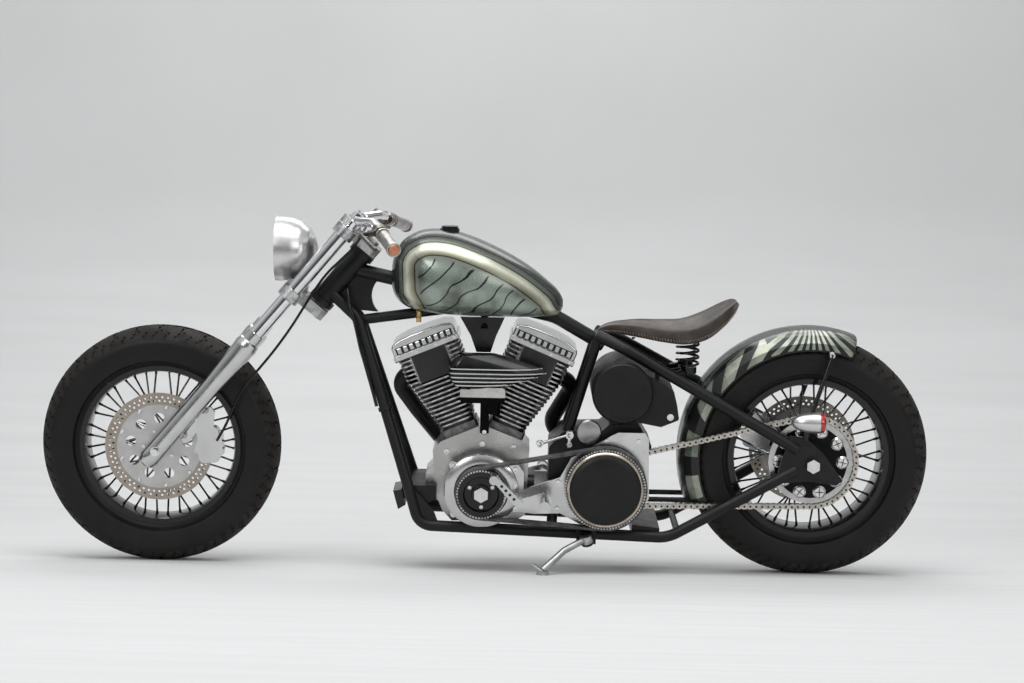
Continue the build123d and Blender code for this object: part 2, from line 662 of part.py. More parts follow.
# Motor plate: one machined plate from the crank's ring back round the clutch, with its bolt ears
RING_R = 93.0
with BuildPart() as motor_plate:
    add(slab([(834, 308), (780, 306), (766, 286), (766, 240), (669, 276), (640, 330), (601, 348), (535, 391),
              (517, 400), (446, 400), (435, 383), (431, 222), (469, 167), (520, 142), (600, 142), (667, 178),
              (738, 175), (774, 179), (832, 178)], PLATE_Y[1], PLATE_Y[0]))
    add(drum(CRANK, PLATE_Y[1], PLATE_Y[0], RING_R))
    for ear in ((957, 304), (952, 170)):
        add(band(PLATE_Y[1], PLATE_Y[0], ear, 9, (CRANK[0] + 40, (CRANK[1] + ear[1]) / 2), 30))
    for piece in (gearbox, crankcase, frame_cradle):
        add(piece.part, mode=Mode.SUBTRACT)
finish("motor_plate", motor_plate)

# Primary drive: two pulleys on their shafts, the rear one with the clutch's dome, and the belt
with BuildPart() as primary_pulleys:
    add(drum(CRANK, 190, BELT_Y[0] - 2, PULLEY_FRONT_R))
    add(drum(CRANK, 196, 188, 46))
    add(drum(CRANK, BELT_Y[0], 104, 24))
    add(drum(CLUTCH, 190, BELT_Y[0] - 2, PULLEY_REAR_R))
    add(drum(CLUTCH, 198, 190, 97))
    add(drum(CLUTCH, 206, 198, 88))
    add(drum(CLUTCH, BELT_Y[0], PLATE_Y[1] - 2, 30))
    for piece in (motor_plate, crankcase, gearbox):
        add(piece.part, mode=Mode.SUBTRACT)
finish("primary_pulleys", primary_pulleys)
with BuildPart() as primary_belt:
    add(band(BELT_Y[1], BELT_Y[0], CRANK, PULLEY_FRONT_R + BELT_THICK, CLUTCH, PULLEY_REAR_R + BELT_THICK))
    add(band(BELT_Y[1] + 1, BELT_Y[0] - 1, CRANK, PULLEY_FRONT_R, CLUTCH, PULLEY_REAR_R), mode=Mode.SUBTRACT)
finish("primary_belt", primary_belt)


# Drive chain: one loop whose edges swell at each pin and pinch between links
def chain_edge(swell, pinch):
    """One edge of the chain, three points a link, round the rear sprocket and the gearbox's."""
    big, small = (0.0, REAR_R, REAR_PITCH_R), (*CLUTCH, GEARBOX_PITCH_R)
    span = hypot(small[0], small[1] - big[1])
    straight = sqrt(span ** 2 - (big[2] - small[2]) ** 2)
    slope = atan2(small[1] - big[1], small[0])
    dip = atan2(big[2] - small[2], straight)
    up, down = slope + pi / 2 - dip, slope - pi / 2 + dip
    arc_small = (up - down) * small[2]
    arc_big = (2 * pi - up + down) * big[2]
    total = 2 * straight + arc_small + arc_big
    count = 6 * round(total / PITCH / 2)
    points = []
    for n in range(count):
        run = total * n / count
        if run < straight:
            normal, centre, along = up, big, run
        elif run < straight + arc_small:
            normal, centre, along = up - (run - straight) / small[2], small, 0.0
        elif run < 2 * straight + arc_small:
            normal, centre, along = down, small, run - straight - arc_small
        else:
            normal, centre, along = down - (run - 2 * straight - arc_small) / big[2], big, 0.0
        reach = centre[2] + (pinch if n % 3 == 2 else swell)
        points.append((centre[0] + reach * cos(normal) + along * sin(normal),
                       centre[1] + reach * sin(normal) - along * cos(normal)))
    return points


with BuildPart() as drive_chain:
    with BuildSketch(side_plane(CHAIN_Y + CHAIN_HALF)):
        with BuildLine():
            Polyline(*chain_edge(7.4, 5.4), close=True)
        make_face()
        with BuildLine():
            Polyline(*chain_edge(-7.4, -5.4), close=True)
        make_face(mode=Mode.SUBTRACT)
    extrude(amount=2 * CHAIN_HALF)
    add(gearbox.part, mode=Mode.SUBTRACT)
finish("drive_chain", drive_chain)

# Fuel tank: a teardrop lofted through flat-bottomed arched sections, over the backbone's tunnel
TANK = [  # x, half width, z of the bottom, z of the top
    (1128, 50, 752, 842), (1095, 92, 716, 894), (1040, 116, 700, 920), (960, 124, 692, 914),
    (860, 112, 690, 874), (770, 84, 690, 826), (702, 46, 694, 772), (676, 20, 706, 744),
]
with BuildPart() as fuel_tank:
    for x, half, bottom, top in TANK:
        flank, shoulder = bottom + 0.18 * (top - bottom), bottom + 0.55 * (top - bottom)
        with BuildSketch(Plane(origin=(x, 0, 0), x_dir=(0, 1, 0), z_dir=(1, 0, 0))):
            with BuildLine():
                Polyline((-half, shoulder), (-half, flank), (-0.86 * half, bottom), (0.86 * half, bottom),
                         (half, flank), (half, shoulder))
                ThreePointArc((half, shoulder), (0, top), (-half, shoulder))
            make_face()
    loft(ruled=True)
    add(slab([(1160, 640), (1160, 826), (640, 716), (640, 640)], 24, -24), mode=Mode.SUBTRACT)
    add(frame_backbone.part, mode=Mode.SUBTRACT)
finish("fuel_tank", fuel_tank)
with BuildPart() as filler_cap:
    add(rod((978, 0, 900), (978, 0, 924), 26))
    add(rod((978, 0, 920), (978, 0, 930), 22))
    add(fuel_tank.part, mode=Mode.SUBTRACT)
finish("filler_cap", filler_cap)
with BuildPart() as petcock:
    add(rod((1056, 60, 676), (1056, 60, 712), 7))
    add(rod((1056, 60, 684), (1056, 82, 684), 6))
    add(fuel_tank.part, mode=Mode.SUBTRACT)
finish("petcock", petcock)
with BuildPart() as engine_top_mount:
    add(slab([(945, 690), (826, 690), (848, 640), (862, 596), (900, 596), (916, 640)], 46, 34))
    add(rod((880, 46, 660), (880, 0, 716), 10))
    for piece in (frame_backbone, fuel_tank, rocker_boxes, front_cylinder, rear_cylinder):
        add(piece.part, mode=Mode.SUBTRACT)
finish("engine_top_mount", engine_top_mount)

# Saddle: a dished pan that is widest at the back, on its nose bracket and two springs
SEAT = [  # x, half width, z of the bottom, z of the top
    (566, 18, 652, 664), (528, 42, 652, 678), (462, 78, 644, 680), (400, 108, 636, 678),
    (340, 124, 634, 680), (285, 120, 648, 702), (240, 92, 682, 728), (204, 40, 722, 738),
]
with BuildPart() as seat:
    for x, half, bottom, top in SEAT:
        with BuildSketch(Plane(origin=(x, 0, 0), x_dir=(0, 1, 0), z_dir=(1, 0, 0))):
            with BuildLine():
                Polyline((-half, top - 6), (-half, bottom + 4), (-0.9 * half, bottom), (0.9 * half, bottom),
                         (half, bottom + 4), (half, top - 6))
                ThreePointArc((half, top - 6), (0, top), (-half, top - 6))
            make_face()
    loft(ruled=True)
    add(frame_backbone.part, mode=Mode.SUBTRACT)
finish("seat", seat)
SPRING = (330.0, 62.0)  # x, distance from the middle
SPRING_R = 27.0
WIRE_R = 4.0
with BuildPart() as seat_springs:
    for side in SIDES:
        for n in range(4):
            with Locations((SPRING[0], side * SPRING[1], 572 + 17 * n)):
                Cylinder(SPRING_R, 2 * WIRE_R)
        add(rod((SPRING[0], side * SPRING[1], 566), (SPRING[0], side * SPRING[1], 642), 14))
        add(rod((SPRING[0], side * SPRING[1], 566), (SPRING[0] + 50, side * (SPRING[1] + 38), 548), 8))
    add(seat.part, mode=Mode.SUBTRACT)
    add(frame_cradle.part, mode=Mode.SUBTRACT)
finish("seat_springs", seat_springs)

# Oil tank: a round body across the frame with a raised end, and a tail hung from both stays by studs
OIL = (508.0, 505.0)
OIL_R = 82.0
with BuildPart() as oil_tank:
    add(drum(OIL, 132, -100, OIL_R))
    add(drum(OIL, 137, 130, OIL_R - 6))
    add(slab([(470, 572), (371, 511), (361, 472), (355, 434), (403, 414), (480, 428)], 118, -96, 8))
    for side in SIDES:
        add(rod((415, side * 90, 530), (415, side * 90, 562), 6))
    add(frame_cradle.part, mode=Mode.SUBTRACT)
    add(gearbox.part, mode=Mode.SUBTRACT)
finish("oil_tank", oil_tank)

# Rear fender: a thin crowned channel turned about the wheel, on two struts and two lower stays
FENDER = [  # y, radius: the outer edge from left to right
    (94, 296), (94, 318), (79, 338), (48, 349), (0, 352), (-48, 349), (-79, 338), (-94, 318), (-94, 296),
]
FENDER_WALL = 3.0
FENDER_ARC = 135.0
FENDER_START = -20.0
with BuildPart() as fender_blank:
    with BuildSketch(wheel_plane(REAR_AXLE)):
        with BuildLine():
            inner = [(y * (1 - FENDER_WALL / 94), r if r < 300 else r - 3.4) for y, r in reversed(FENDER)]
            Polyline(*FENDER, *inner, close=True)
        make_face()
    revolve(axis=Axis(REAR_AXLE, (0, 1, 0)), revolution_arc=FENDER_ARC)
with BuildPart() as rear_fender:
    add(Pos(0, 0, REAR_R) * Rot(0, FENDER_START, 0) * Pos(0, 0, -REAR_R) * fender_blank.part)
finish("rear_fender", rear_fender)
with BuildPart() as fender_struts:
    for side in SIDES:
        add(tube([(-48, side * 94.2, 620), (-48, side * 112, 616), (10, side * 134, 440),
                  (20, side * REAR_Y, 398)], 6, 8))
        add(rod((480, side * 50, 204), (300, side * 50, 204), 7))
    add(frame_cradle.part, mode=Mode.SUBTRACT)
    add(gearbox.part, mode=Mode.SUBTRACT)
    add(turned(REAR_AXLE, [(-94, 1), *reversed(FENDER), (94, 1)]), mode=Mode.SUBTRACT)
finish("fender_struts", fender_struts)

# Tail lamp on the left upper stay
LAMP_SIDE = REAR_Y + 5
with BuildPart() as tail_lamp:
    add(rod((58, LAMP_SIDE, 440), (-16, LAMP_SIDE, 440), 28))
    add(rod((20, LAMP_SIDE, 416), (20, LAMP_SIDE - 4, 392), 9))
    add(frame_cradle.part, mode=Mode.SUBTRACT)
    add(fender_struts.part, mode=Mode.SUBTRACT)
finish("tail_lamp", tail_lamp)
with BuildPart() as tail_lamp_lens:
    add(rod((-16, LAMP_SIDE, 440), (-30, LAMP_SIDE, 440), 25))
finish("tail_lamp_lens", tail_lamp_lens)

# Rear caliper, and the regulator across the front of the cradle
with BuildPart() as rear_caliper:
    add(caliper_body(REAR_AXLE, 20, REAR_DISC_Y + DISC_THICK / 2, 136))
    add(rod((110, -105, 380), (40, -REAR_Y + 7, 350), 9))
    add(frame_cradle.part, mode=Mode.SUBTRACT)
finish("rear_caliper", rear_caliper)
with BuildPart() as regulator:
    add(slab([(1118, 214), (1096, 218), (1084, 176), (1104, 164)], 60, -60))
    add(slab([(1096, 214), (1060, 222), (1060, 190), (1090, 186)], 20, -20))
    add(frame_cradle.part, mode=Mode.SUBTRACT)
finish("regulator", regulator)

# Foot controls: on each side a peg, a pivot plate and a lever with a round pad
PEG = (711.0, 226.0)
PEG_R = 13.5
PEG_END = 296.0
LEVER_Y = 206.0
PIVOT = (778.0, 216.0)
PAD = (845.0, 285.0)
with BuildPart() as foot_controls:
    for side in SIDES:
        add(rod((PEG[0], side * 128, PEG[1]), (PEG[0], side * PEG_END, PEG[1]), PEG_R))
        add(rod((PEG[0], side * (PEG_END - 12), PEG[1]), (PEG[0], side * PEG_END, PEG[1]), PEG_R + 2))
        plate = (side * LEVER_Y, side * (LEVER_Y - 8))
        add(band(max(plate), min(plate), PEG, 20, PIVOT, 12))
        lever = (side * (LEVER_Y + 8), side * LEVER_Y)
        add(band(max(lever), min(lever), PIVOT, 11, PAD, 8))
        add(rod((PAD[0], side * LEVER_Y, PAD[1]), (PAD[0], side * (LEVER_Y + 42), PAD[1]), 12))
    add(slab([(735, 140), (735, 240), (690, 240), (690, 140)], -128, -138))
    for piece in (motor_plate, primary_belt, frame_cradle, exhaust_pipes, crankcase, gearbox,
                  primary_pulleys):
        add(piece.part, mode=Mode.SUBTRACT)
finish("foot_controls", foot_controls)

# Side stand: an eye between the frame's lugs, a bent leg, a round foot on the ground and a toe tab
UP = Vector(0, -sin(radians(LEAN)), cos(radians(LEAN)))  # the world's up, in the bike's own frame
STAND_FOOT = Vector(712, 240, 48)
foot_low = STAND_FOOT - UP * STAND_FOOT.dot(UP)
knee = Vector(656, 198, 90)
with BuildPart() as side_stand:
    add(rod(STAND_PIVOT - STAND_AXIS * STAND_HUB_HALF, STAND_PIVOT + STAND_AXIS * STAND_HUB_HALF, 15.5))
    add(tube([STAND_PIVOT, knee, foot_low + UP * 12], 9, 14))
    add(rod(foot_low, foot_low + UP * 10, 17))
    add(rod(foot_low + UP * 8, foot_low + UP * 20 + Vector(28, 0, 6), 5.5))
    add(rod(STAND_PIVOT - STAND_AXIS * 30, STAND_PIVOT + STAND_AXIS * 30, 7 + RUNNING_GAP),
        mode=Mode.SUBTRACT)
finish("side_stand", side_stand)



# Hose and cable: each bend is as wide as its two runs allow
def cord(name, points, radius):
    points = [Vector(*point) for point in points]
    bends = []
    for before, corner, after in zip(points, points[1:], points[2:]):
        turn = (corner - before).get_angle(after - corner)
        run = min((corner - before).length, (after - corner).length)
        bends.append(0.45 * run / tan(radians(turn / 2)))
    made = tube(points, radius, bends)
    length = made.volume / (pi * radius ** 2)
    print(name, "bends", [round(bend) for bend in bends], "length", round(length, 1))
    return made


# Front brake hose: from the fluid box behind the bar, down inside the left leg to the caliper
HOSE_R = 3.5
HOSE_TOP = [  # up the fork, ahead of the legs, to the left
    (822, -38, -157), (811, -38, -112), (804, -36, -64), (803, -37, -20), (802, -38, 34), (789, -43, 64),
    (754, -46, 80), (710, -42, 82), (653, -36, 72), (587, -43, 73), (530, -52, 77), (475, -60, 79),
]
HOSE_LOW = [
    (1443, 82, 589), (1482, 83, 541), (1508, 84, 510), (1535, 85, 468), (1558, 86, 412), (1574, 86, 376),
    (1592, 84, 346),
]
with BuildPart() as brake_hose:
    add(cord("brake_hose", [fork_point(*point) for point in HOSE_TOP] + HOSE_LOW, HOSE_R))
    for piece in (front_caliper, controls_and_levers):
        add(piece.part, mode=Mode.SUBTRACT)
finish("brake_hose", brake_hose)

# Wiring: a ribbed conduit down the front of the left downtube, and the cable on to its clip
CONDUIT = [(1250, 10, 768), (1249, 30, 750), (1245, 44, 727), (1238, 54, 702), (1228, 58, 674),
           (1219, 60, 637), (1211, 62, 601)]
CABLE = [(1211, 62, 602), (1200, 64, 567), (1188, 69, 528), (1175, 74, 486), (1164, 80, 448)]
with BuildPart() as wiring_conduit:
    add(cord("wiring_conduit", CONDUIT, 6.5))
    add(cord("its cable", CABLE, 3))
    add(frame_cradle.part, mode=Mode.SUBTRACT)
    add(frame_backbone.part, mode=Mode.SUBTRACT)
finish("wiring_conduit", wiring_conduit)

# Lean, set down on the bounding box's bottom centre, and write
leaned = {name: Rot(-LEAN, 0, 0) * part for name, part in PARTS.items()}
boxes = [part.bounding_box() for part in leaned.values()]
low = [min(getattr(box.min, axis) for box in boxes) for axis in "XYZ"]
high = [max(getattr(box.max, axis) for box in boxes) for axis in "XYZ"]
SHIFT = (-(low[0] + high[0]) / 2, -(low[1] + high[1]) / 2, -low[2])
for name, part in leaned.items():
    parked = Pos(*SHIFT) * part
    parked.label = name
    export_step(parked, f"parts/{name}.step")
size = [round(h - l, 1) for l, h in zip(low, high)]
print("nodes", len(PARTS), "size", size, "shift", [round(s, 3) for s in SHIFT])
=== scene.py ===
from math import atan2, cos, floor, pi, radians, sin

import bmesh
import bpy
from mathutils import Matrix, Vector


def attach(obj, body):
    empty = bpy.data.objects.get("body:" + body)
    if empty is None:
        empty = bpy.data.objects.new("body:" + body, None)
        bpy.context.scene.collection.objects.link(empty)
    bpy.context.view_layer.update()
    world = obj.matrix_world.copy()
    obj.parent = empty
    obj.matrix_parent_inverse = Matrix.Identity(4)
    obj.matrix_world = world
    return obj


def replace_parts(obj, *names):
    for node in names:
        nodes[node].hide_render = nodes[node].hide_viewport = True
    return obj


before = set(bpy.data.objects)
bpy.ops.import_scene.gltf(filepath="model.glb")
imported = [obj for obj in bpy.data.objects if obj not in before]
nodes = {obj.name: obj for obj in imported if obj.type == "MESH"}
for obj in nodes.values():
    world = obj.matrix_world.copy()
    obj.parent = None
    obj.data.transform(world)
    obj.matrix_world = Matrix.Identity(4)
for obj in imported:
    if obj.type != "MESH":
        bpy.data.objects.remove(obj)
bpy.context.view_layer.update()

# Studio: one sheet of pale streaked paper that lies under the motorcycle and sweeps up behind it, seen from
# its front only. Soft lamps light it from overhead and in front, and the camera stands on the left side.
# Every piece below is made in the upright motorcycle's frame, in metres from the rear axle's floor point,
# and PARKED leans it on its stand and moves it to its place.
LEAN = 8
PARKED = Matrix.Translation((-0.8730, -0.105642, 0)) @ Matrix.Rotation(radians(-LEAN), 4, "X")


def new_material(name, **settings):
    """A material, its node tree and its shader, with inputs set by names whose spaces are underscores."""
    made = bpy.data.materials.new(name)
    made.use_nodes = True
    tree = made.node_tree
    shader = tree.nodes["Principled BSDF"]
    for label, value in settings.items():
        shader.inputs[label.replace("_", " ")].default_value = value
    return made, tree, shader


def link_object(name, mesh):
    made = bpy.data.objects.new(name, mesh)
    bpy.context.scene.collection.objects.link(made)
    return made


def math_node(tree, operation, *values):
    """A Math node; each value is a number or an output to link."""
    node = tree.nodes.new("ShaderNodeMath")
    node.operation = operation
    for socket, value in zip(node.inputs, values):
        if isinstance(value, bpy.types.NodeSocket):
            tree.links.new(value, socket)
        else:
            socket.default_value = value
    return node.outputs[0]


def mix_node(tree, factor, first, second):
    """A colour Mix node; the factor and colours are values or outputs to link."""
    node = tree.nodes.new("ShaderNodeMix")
    node.data_type = "RGBA"
    for label, value in (("Factor", factor), ("A", first), ("B", second)):
        socket = next(s for s in node.inputs if s.name == label and s.enabled)
        if isinstance(value, bpy.types.NodeSocket):
            tree.links.new(value, socket)
        else:
            socket.default_value = value if label == "Factor" else (*value, 1)
    return next(s for s in node.outputs if s.enabled)


def object_place(tree):
    return tree.nodes.new("ShaderNodeTexCoord").outputs["Object"]


def noise_node(tree, scale, detail=3.0, stretch=(1, 1, 1)):
    turn = tree.nodes.new("ShaderNodeMapping")
    turn.inputs["Scale"].default_value = stretch
    node = tree.nodes.new("ShaderNodeTexNoise")
    node.inputs["Detail"].default_value = detail
    tree.links.new(object_place(tree), turn.inputs["Vector"])
    tree.links.new(turn.outputs["Vector"], node.inputs["Vector"])
    if isinstance(scale, bpy.types.NodeSocket):
        tree.links.new(scale, node.inputs["Scale"])
    else:
        node.inputs["Scale"].default_value = scale
    return node.outputs["Fac"]


def new_vertices(geometry):
    return [item for item in geometry if isinstance(item, bmesh.types.BMVert)]


STREAKS = (0.6, 16.0, 0.7)
PAPER_HALF = 9.0
PAPER_FRONT = 3.0
PAPER_BEND = 1.6
BEND_R = 1.2
PAPER_TOP = 7.0
paper, paper_tree, paper_shader = new_material("studio_paper", Roughness=0.85)
paper_grain = noise_node(paper_tree, 1.6, 5.0, STREAKS)
paper_colour = mix_node(paper_tree, paper_grain, (0.56, 0.56, 0.558), (0.66, 0.66, 0.66))
paper_tree.links.new(paper_colour, paper_shader.inputs["Base Color"])
paper_side = paper_tree.nodes.new("ShaderNodeNewGeometry")
paper_front = math_node(paper_tree, "SUBTRACT", 1.0, paper_side.outputs["Backfacing"])
paper_tree.links.new(paper_front, paper_shader.inputs["Alpha"])

paper_mesh = bmesh.new()
sweep = [(PAPER_FRONT, 0.0), (-PAPER_BEND, 0.0)]
for step in range(1, 9):
    bend = step * pi / 16
    sweep.append((-PAPER_BEND - BEND_R * sin(bend), BEND_R - BEND_R * cos(bend)))
sweep += [(-PAPER_BEND - BEND_R, PAPER_TOP)]
row = [paper_mesh.verts.new((-PAPER_HALF, y, z)) for y, z in sweep]
edges = [paper_mesh.edges.new(pair) for pair in zip(row, row[1:])]
swept = bmesh.ops.extrude_edge_only(paper_mesh, edges=edges)["geom"]
bmesh.ops.translate(paper_mesh, vec=(2 * PAPER_HALF, 0, 0), verts=new_vertices(swept))
paper_mesh.normal_update()
turned = [face for face in paper_mesh.faces if face.normal.z < -0.1 or face.normal.y < -0.1]
bmesh.ops.reverse_faces(paper_mesh, faces=turned)
paper_data = bpy.data.meshes.new("backdrop")
paper_mesh.to_mesh(paper_data)
paper_mesh.free()
paper_data.materials.append(paper)
paper_data.shade_smooth()
link_object("backdrop", paper_data)

world = bpy.data.worlds.new("studio")
world.use_nodes = True
bpy.context.scene.world = world
sky = world.node_tree.nodes["Background"]
sky.inputs["Strength"].default_value = 0.72
sky_place = world.node_tree.nodes.new("ShaderNodeTexCoord")
sky_split = world.node_tree.nodes.new("ShaderNodeSeparateXYZ")
sky_ramp = world.node_tree.nodes.new("ShaderNodeValToRGB")
HORIZON = (0.04, (0.10, 0.105, 0.11, 1))
OVERHEAD = (0.55, (0.92, 0.94, 0.96, 1))
for stop, (height, colour) in zip(sky_ramp.color_ramp.elements, (HORIZON, OVERHEAD)):
    stop.position = height
    stop.color = colour
world.node_tree.links.new(sky_place.outputs["Generated"], sky_split.inputs[0])
world.node_tree.links.new(sky_split.outputs["Z"], sky_ramp.inputs[0])
world.node_tree.links.new(sky_ramp.outputs["Color"], sky.inputs["Color"])

LAMPS = [  # name, place, aimed at, wide, deep, power
    ("overhead", (0.2, 1.4, 4.2), (0, 0, 0.4), 4.5, 2.6, 120),
    ("front", (2.6, 5.2, 2.6), (0.2, 0, 0.5), 1.6, 1.4, 60),
    ("back", (-2.8, 4.6, 2.0), (-0.3, 0, 0.5), 1.6, 2.0, 32),
    ("behind", (0.0, -2.2, 3.6), (0, 0, 0.8), 4.0, 1.2, 50),
]
for name, place, aim, wide, deep, power in LAMPS:
    light = bpy.data.lights.new(name, "AREA")
    light.shape = "RECTANGLE"
    light.size = wide
    light.size_y = deep
    light.energy = power
    lamp = link_object(name, light)
    lamp.location = place
    lamp.rotation_euler = (Vector(aim) - Vector(place)).to_track_quat("-Z", "Y").to_euler()

bpy.context.scene.view_settings.view_transform = "Standard"

ROLL = radians(1.208)
lens = bpy.data.cameras.new("photograph")
lens.lens = 83.38
lens.sensor_width = 36
lens.clip_end = 60
camera = link_object("photograph", lens)
camera.matrix_world = Matrix(((-cos(ROLL), sin(ROLL), 0, -0.0679), (0, 0, 1, 6.3944),
                              (sin(ROLL), cos(ROLL), 0, 0.6139), (0, 0, 0, 1)))
bpy.context.scene.camera = camera


# Shared finishes: metals, paints and rubbers are mottled surfaces, some a little worn along their edges or
# dusty low down and on their upper faces. Each effect is one node group that the materials set for themselves.
def new_group(name, inputs, outputs):
    group = bpy.data.node_groups.new(name, "ShaderNodeTree")
    for label, kind, value in inputs:
        socket = group.interface.new_socket(name=label, in_out="INPUT", socket_type=kind)
        socket.default_value = value
    for label, kind in outputs:
        group.interface.new_socket(name=label, in_out="OUTPUT", socket_type=kind)
    return group, group.nodes.new("NodeGroupInput").outputs, group.nodes.new("NodeGroupOutput").inputs


def product(tree, first, *others):
    for value in others:
        first = math_node(tree, "MULTIPLY", first, value)
    return first


def smooth_step(tree, value, low, high, start=0.0, end=1.0):
    """Maps value from low to high onto start to end, softly and clamped."""
    node = tree.nodes.new("ShaderNodeMapRange")
    node.interpolation_type = "SMOOTHSTEP"
    for label, number in (("From Min", low), ("From Max", high), ("To Min", start), ("To Max", end)):
        node.inputs[label].default_value = number
    tree.links.new(value, node.inputs["Value"])
    return node.outputs["Result"]


def split_vector(tree, vector):
    """The x, y and z outputs of a vector output."""
    split = tree.nodes.new("ShaderNodeSeparateXYZ")
    tree.links.new(vector, split.inputs[0])
    return split.outputs["X"], split.outputs["Y"], split.outputs["Z"]


COLOUR, NUMBER = "NodeSocketColor", "NodeSocketFloat"
BLACK = (0, 0, 0, 1)
mottle, mottle_in, mottle_out = new_group(
    "mottle",
    [("Scale", NUMBER, 40.0), ("Dark", COLOUR, BLACK), ("Light", COLOUR, BLACK), ("Smooth", NUMBER, 0.3),
     ("Rough", NUMBER, 0.5)],
    [("Colour", COLOUR), ("Roughness", NUMBER), ("Height", NUMBER)])
broad = smooth_step(mottle, noise_node(mottle, mottle_in["Scale"], 4.0), 0.35, 0.65)
mottle.links.new(mix_node(mottle, broad, mottle_in["Dark"], mottle_in["Light"]), mottle_out["Colour"])
spread = math_node(mottle, "SUBTRACT", mottle_in["Rough"], mottle_in["Smooth"])
blotch = product(mottle, spread, smooth_step(mottle, noise_node(mottle, 23.0), 0.3, 0.7))
mottle.links.new(math_node(mottle, "ADD", mottle_in["Smooth"], blotch), mottle_out["Roughness"])
mottle.links.new(noise_node(mottle, 900.0, 2.0), mottle_out["Height"])

edge_wear, wear_in, wear_out = new_group(
    "edge_wear", [("Colour", COLOUR, BLACK), ("Bare", COLOUR, BLACK), ("Amount", NUMBER, 0.5)],
    [("Colour", COLOUR)])
shape = edge_wear.nodes.new("ShaderNodeNewGeometry")
corner = smooth_step(edge_wear, shape.outputs["Pointiness"], 0.54, 0.64)
patches = smooth_step(edge_wear, noise_node(edge_wear, 60.0), 0.4, 0.6)
worn = product(edge_wear, corner, patches, wear_in["Amount"])
edge_wear.links.new(mix_node(edge_wear, worn, wear_in["Colour"], wear_in["Bare"]), wear_out["Colour"])

DUST = (0.34, 0.31, 0.27)
dust, dust_in, dust_out = new_group(
    "dust", [("Colour", COLOUR, BLACK), ("Amount", NUMBER, 0.3)], [("Colour", COLOUR)])
dust_height = split_vector(dust, object_place(dust))[2]
dust_facing = split_vector(dust, dust.nodes.new("ShaderNodeNewGeometry").outputs["Normal"])[2]
dust_up = smooth_step(dust, dust_facing, 0.5, 1.0, 0.25, 1.0)
dust_low = smooth_step(dust, dust_height, 0.42, 0.02, 0.3, 1.0)
dust_patches = smooth_step(dust, noise_node(dust, 14.0, 5.0), 0.35, 0.75)
dust_mask = product(dust, dust_patches, dust_up, dust_in["Amount"], dust_low)
dust.links.new(mix_node(dust, dust_mask, dust_in["Colour"], DUST), dust_out["Colour"])


def place_group(tree, group, **values):
    """The outputs of a group in a material's tree, with its inputs set to values or linked."""
    node = tree.nodes.new("ShaderNodeGroup")
    node.node_tree = group
    for label, value in values.items():
        socket = node.inputs[label]
        if isinstance(value, bpy.types.NodeSocket):
            tree.links.new(value, socket)
        else:
            socket.default_value = (*value, 1) if isinstance(value, tuple) else value
    return node.outputs


def finish_surface(tree, shader, colour, roughness, height=None, bump=0.1, reach=0.0005):
    """Links a surface's varying colour, roughness and relief to its shader."""
    tree.links.new(colour, shader.inputs["Base Color"])
    tree.links.new(roughness, shader.inputs["Roughness"])
    if height is not None:
        relief = tree.nodes.new("ShaderNodeBump")
        relief.inputs["Strength"].default_value = bump
        relief.inputs["Distance"].default_value = reach
        tree.links.new(height, relief.inputs["Height"])
        tree.links.new(relief.outputs["Normal"], shader.inputs["Normal"])


def coated(name, dark, light, smooth, rough, metallic=0.0, scale=40.0, bare=(0.5, 0.5, 0.5), wear=0.3,
           dusty=0.25, bump=0.1, coat=0.0, gleam=0.5):
    """A mottled, edge-worn, dusty surface: paint, cast or polished metal, or rubber, by its values."""
    made, tree, shader = new_material(name, Metallic=metallic, Coat_Weight=coat, Coat_Roughness=0.06,
                                      Specular_IOR_Level=gleam)
    base = place_group(tree, mottle, Scale=scale, Dark=dark, Light=light, Smooth=smooth, Rough=rough)
    edge = place_group(tree, edge_wear, Colour=base["Colour"], Bare=bare, Amount=wear)
    film = place_group(tree, dust, Colour=edge["Colour"], Amount=dusty)
    finish_surface(tree, shader, film["Colour"], base["Roughness"], base["Height"], bump)
    return made


def split_edges(piece, degrees):
    """Keeps a smooth piece's edges sharp where its faces meet at more than some degrees."""
    split = piece.modifiers.new("edges", "EDGE_SPLIT")
    split.split_angle = radians(degrees)
    return split


def dress(material, *names):
    """Gives CAD nodes their material, with their round faces shaded smooth and their edges kept sharp."""
    for name in names:
        piece = nodes[name]
        piece.data.materials.clear()
        piece.data.materials.append(material)
        if "custom_normal" in piece.data.attributes:
            piece.data.attributes.remove(piece.data.attributes["custom_normal"])
        piece.data.shade_smooth()
        welded = piece.modifiers.new("welded", "WELD")
        welded.merge_threshold = 0.00002
        split_edges(piece, 28).use_edge_sharp = False


# Rims: rolled steel bands with a dropped centre, welded at one joint and drilled for forty nipples. They are
# enamelled black all over.
black_rim = coated("rim_enamel", (0.0045, 0.0045, 0.005), (0.006, 0.006, 0.0065), 0.12, 0.20, scale=6.0,
                   wear=0.0, dusty=0.0, coat=0.15, gleam=0.35)
dress(black_rim, "front_rim", "rear_rim")

# Tyres: wide black rubber on both wheels, moulded with curved cuts across the tread and smooth walls.
# Each is turned from its section, and the cuts are pressed into the tread.
AXLES = {"front": Vector((1.750, 0, 0.323)), "rear": Vector((0, 0, 0.327))}
TYRES = {  # outer radius, half width, half width at the bead
    "front": (0.323, 0.070, 0.044),
    "rear": (0.327, 0.086, 0.061),
}
RIM_EDGE = 0.2172
TREAD_STEPS = 288
CUT_SPACING = 9  # in steps
CUT_DEPTH = 0.0045


def tyre_material(name, scale, dark, light, smooth, rough, dusty, gleam, bump):
    made, tree, shader = new_material(name, Specular_IOR_Level=gleam)
    base = place_group(tree, mottle, Scale=scale, Dark=dark, Light=light, Smooth=smooth, Rough=rough)
    film = place_group(tree, dust, Colour=base["Colour"], Amount=dusty)
    finish_surface(tree, shader, film["Colour"], base["Roughness"], base["Height"], bump)
    return made


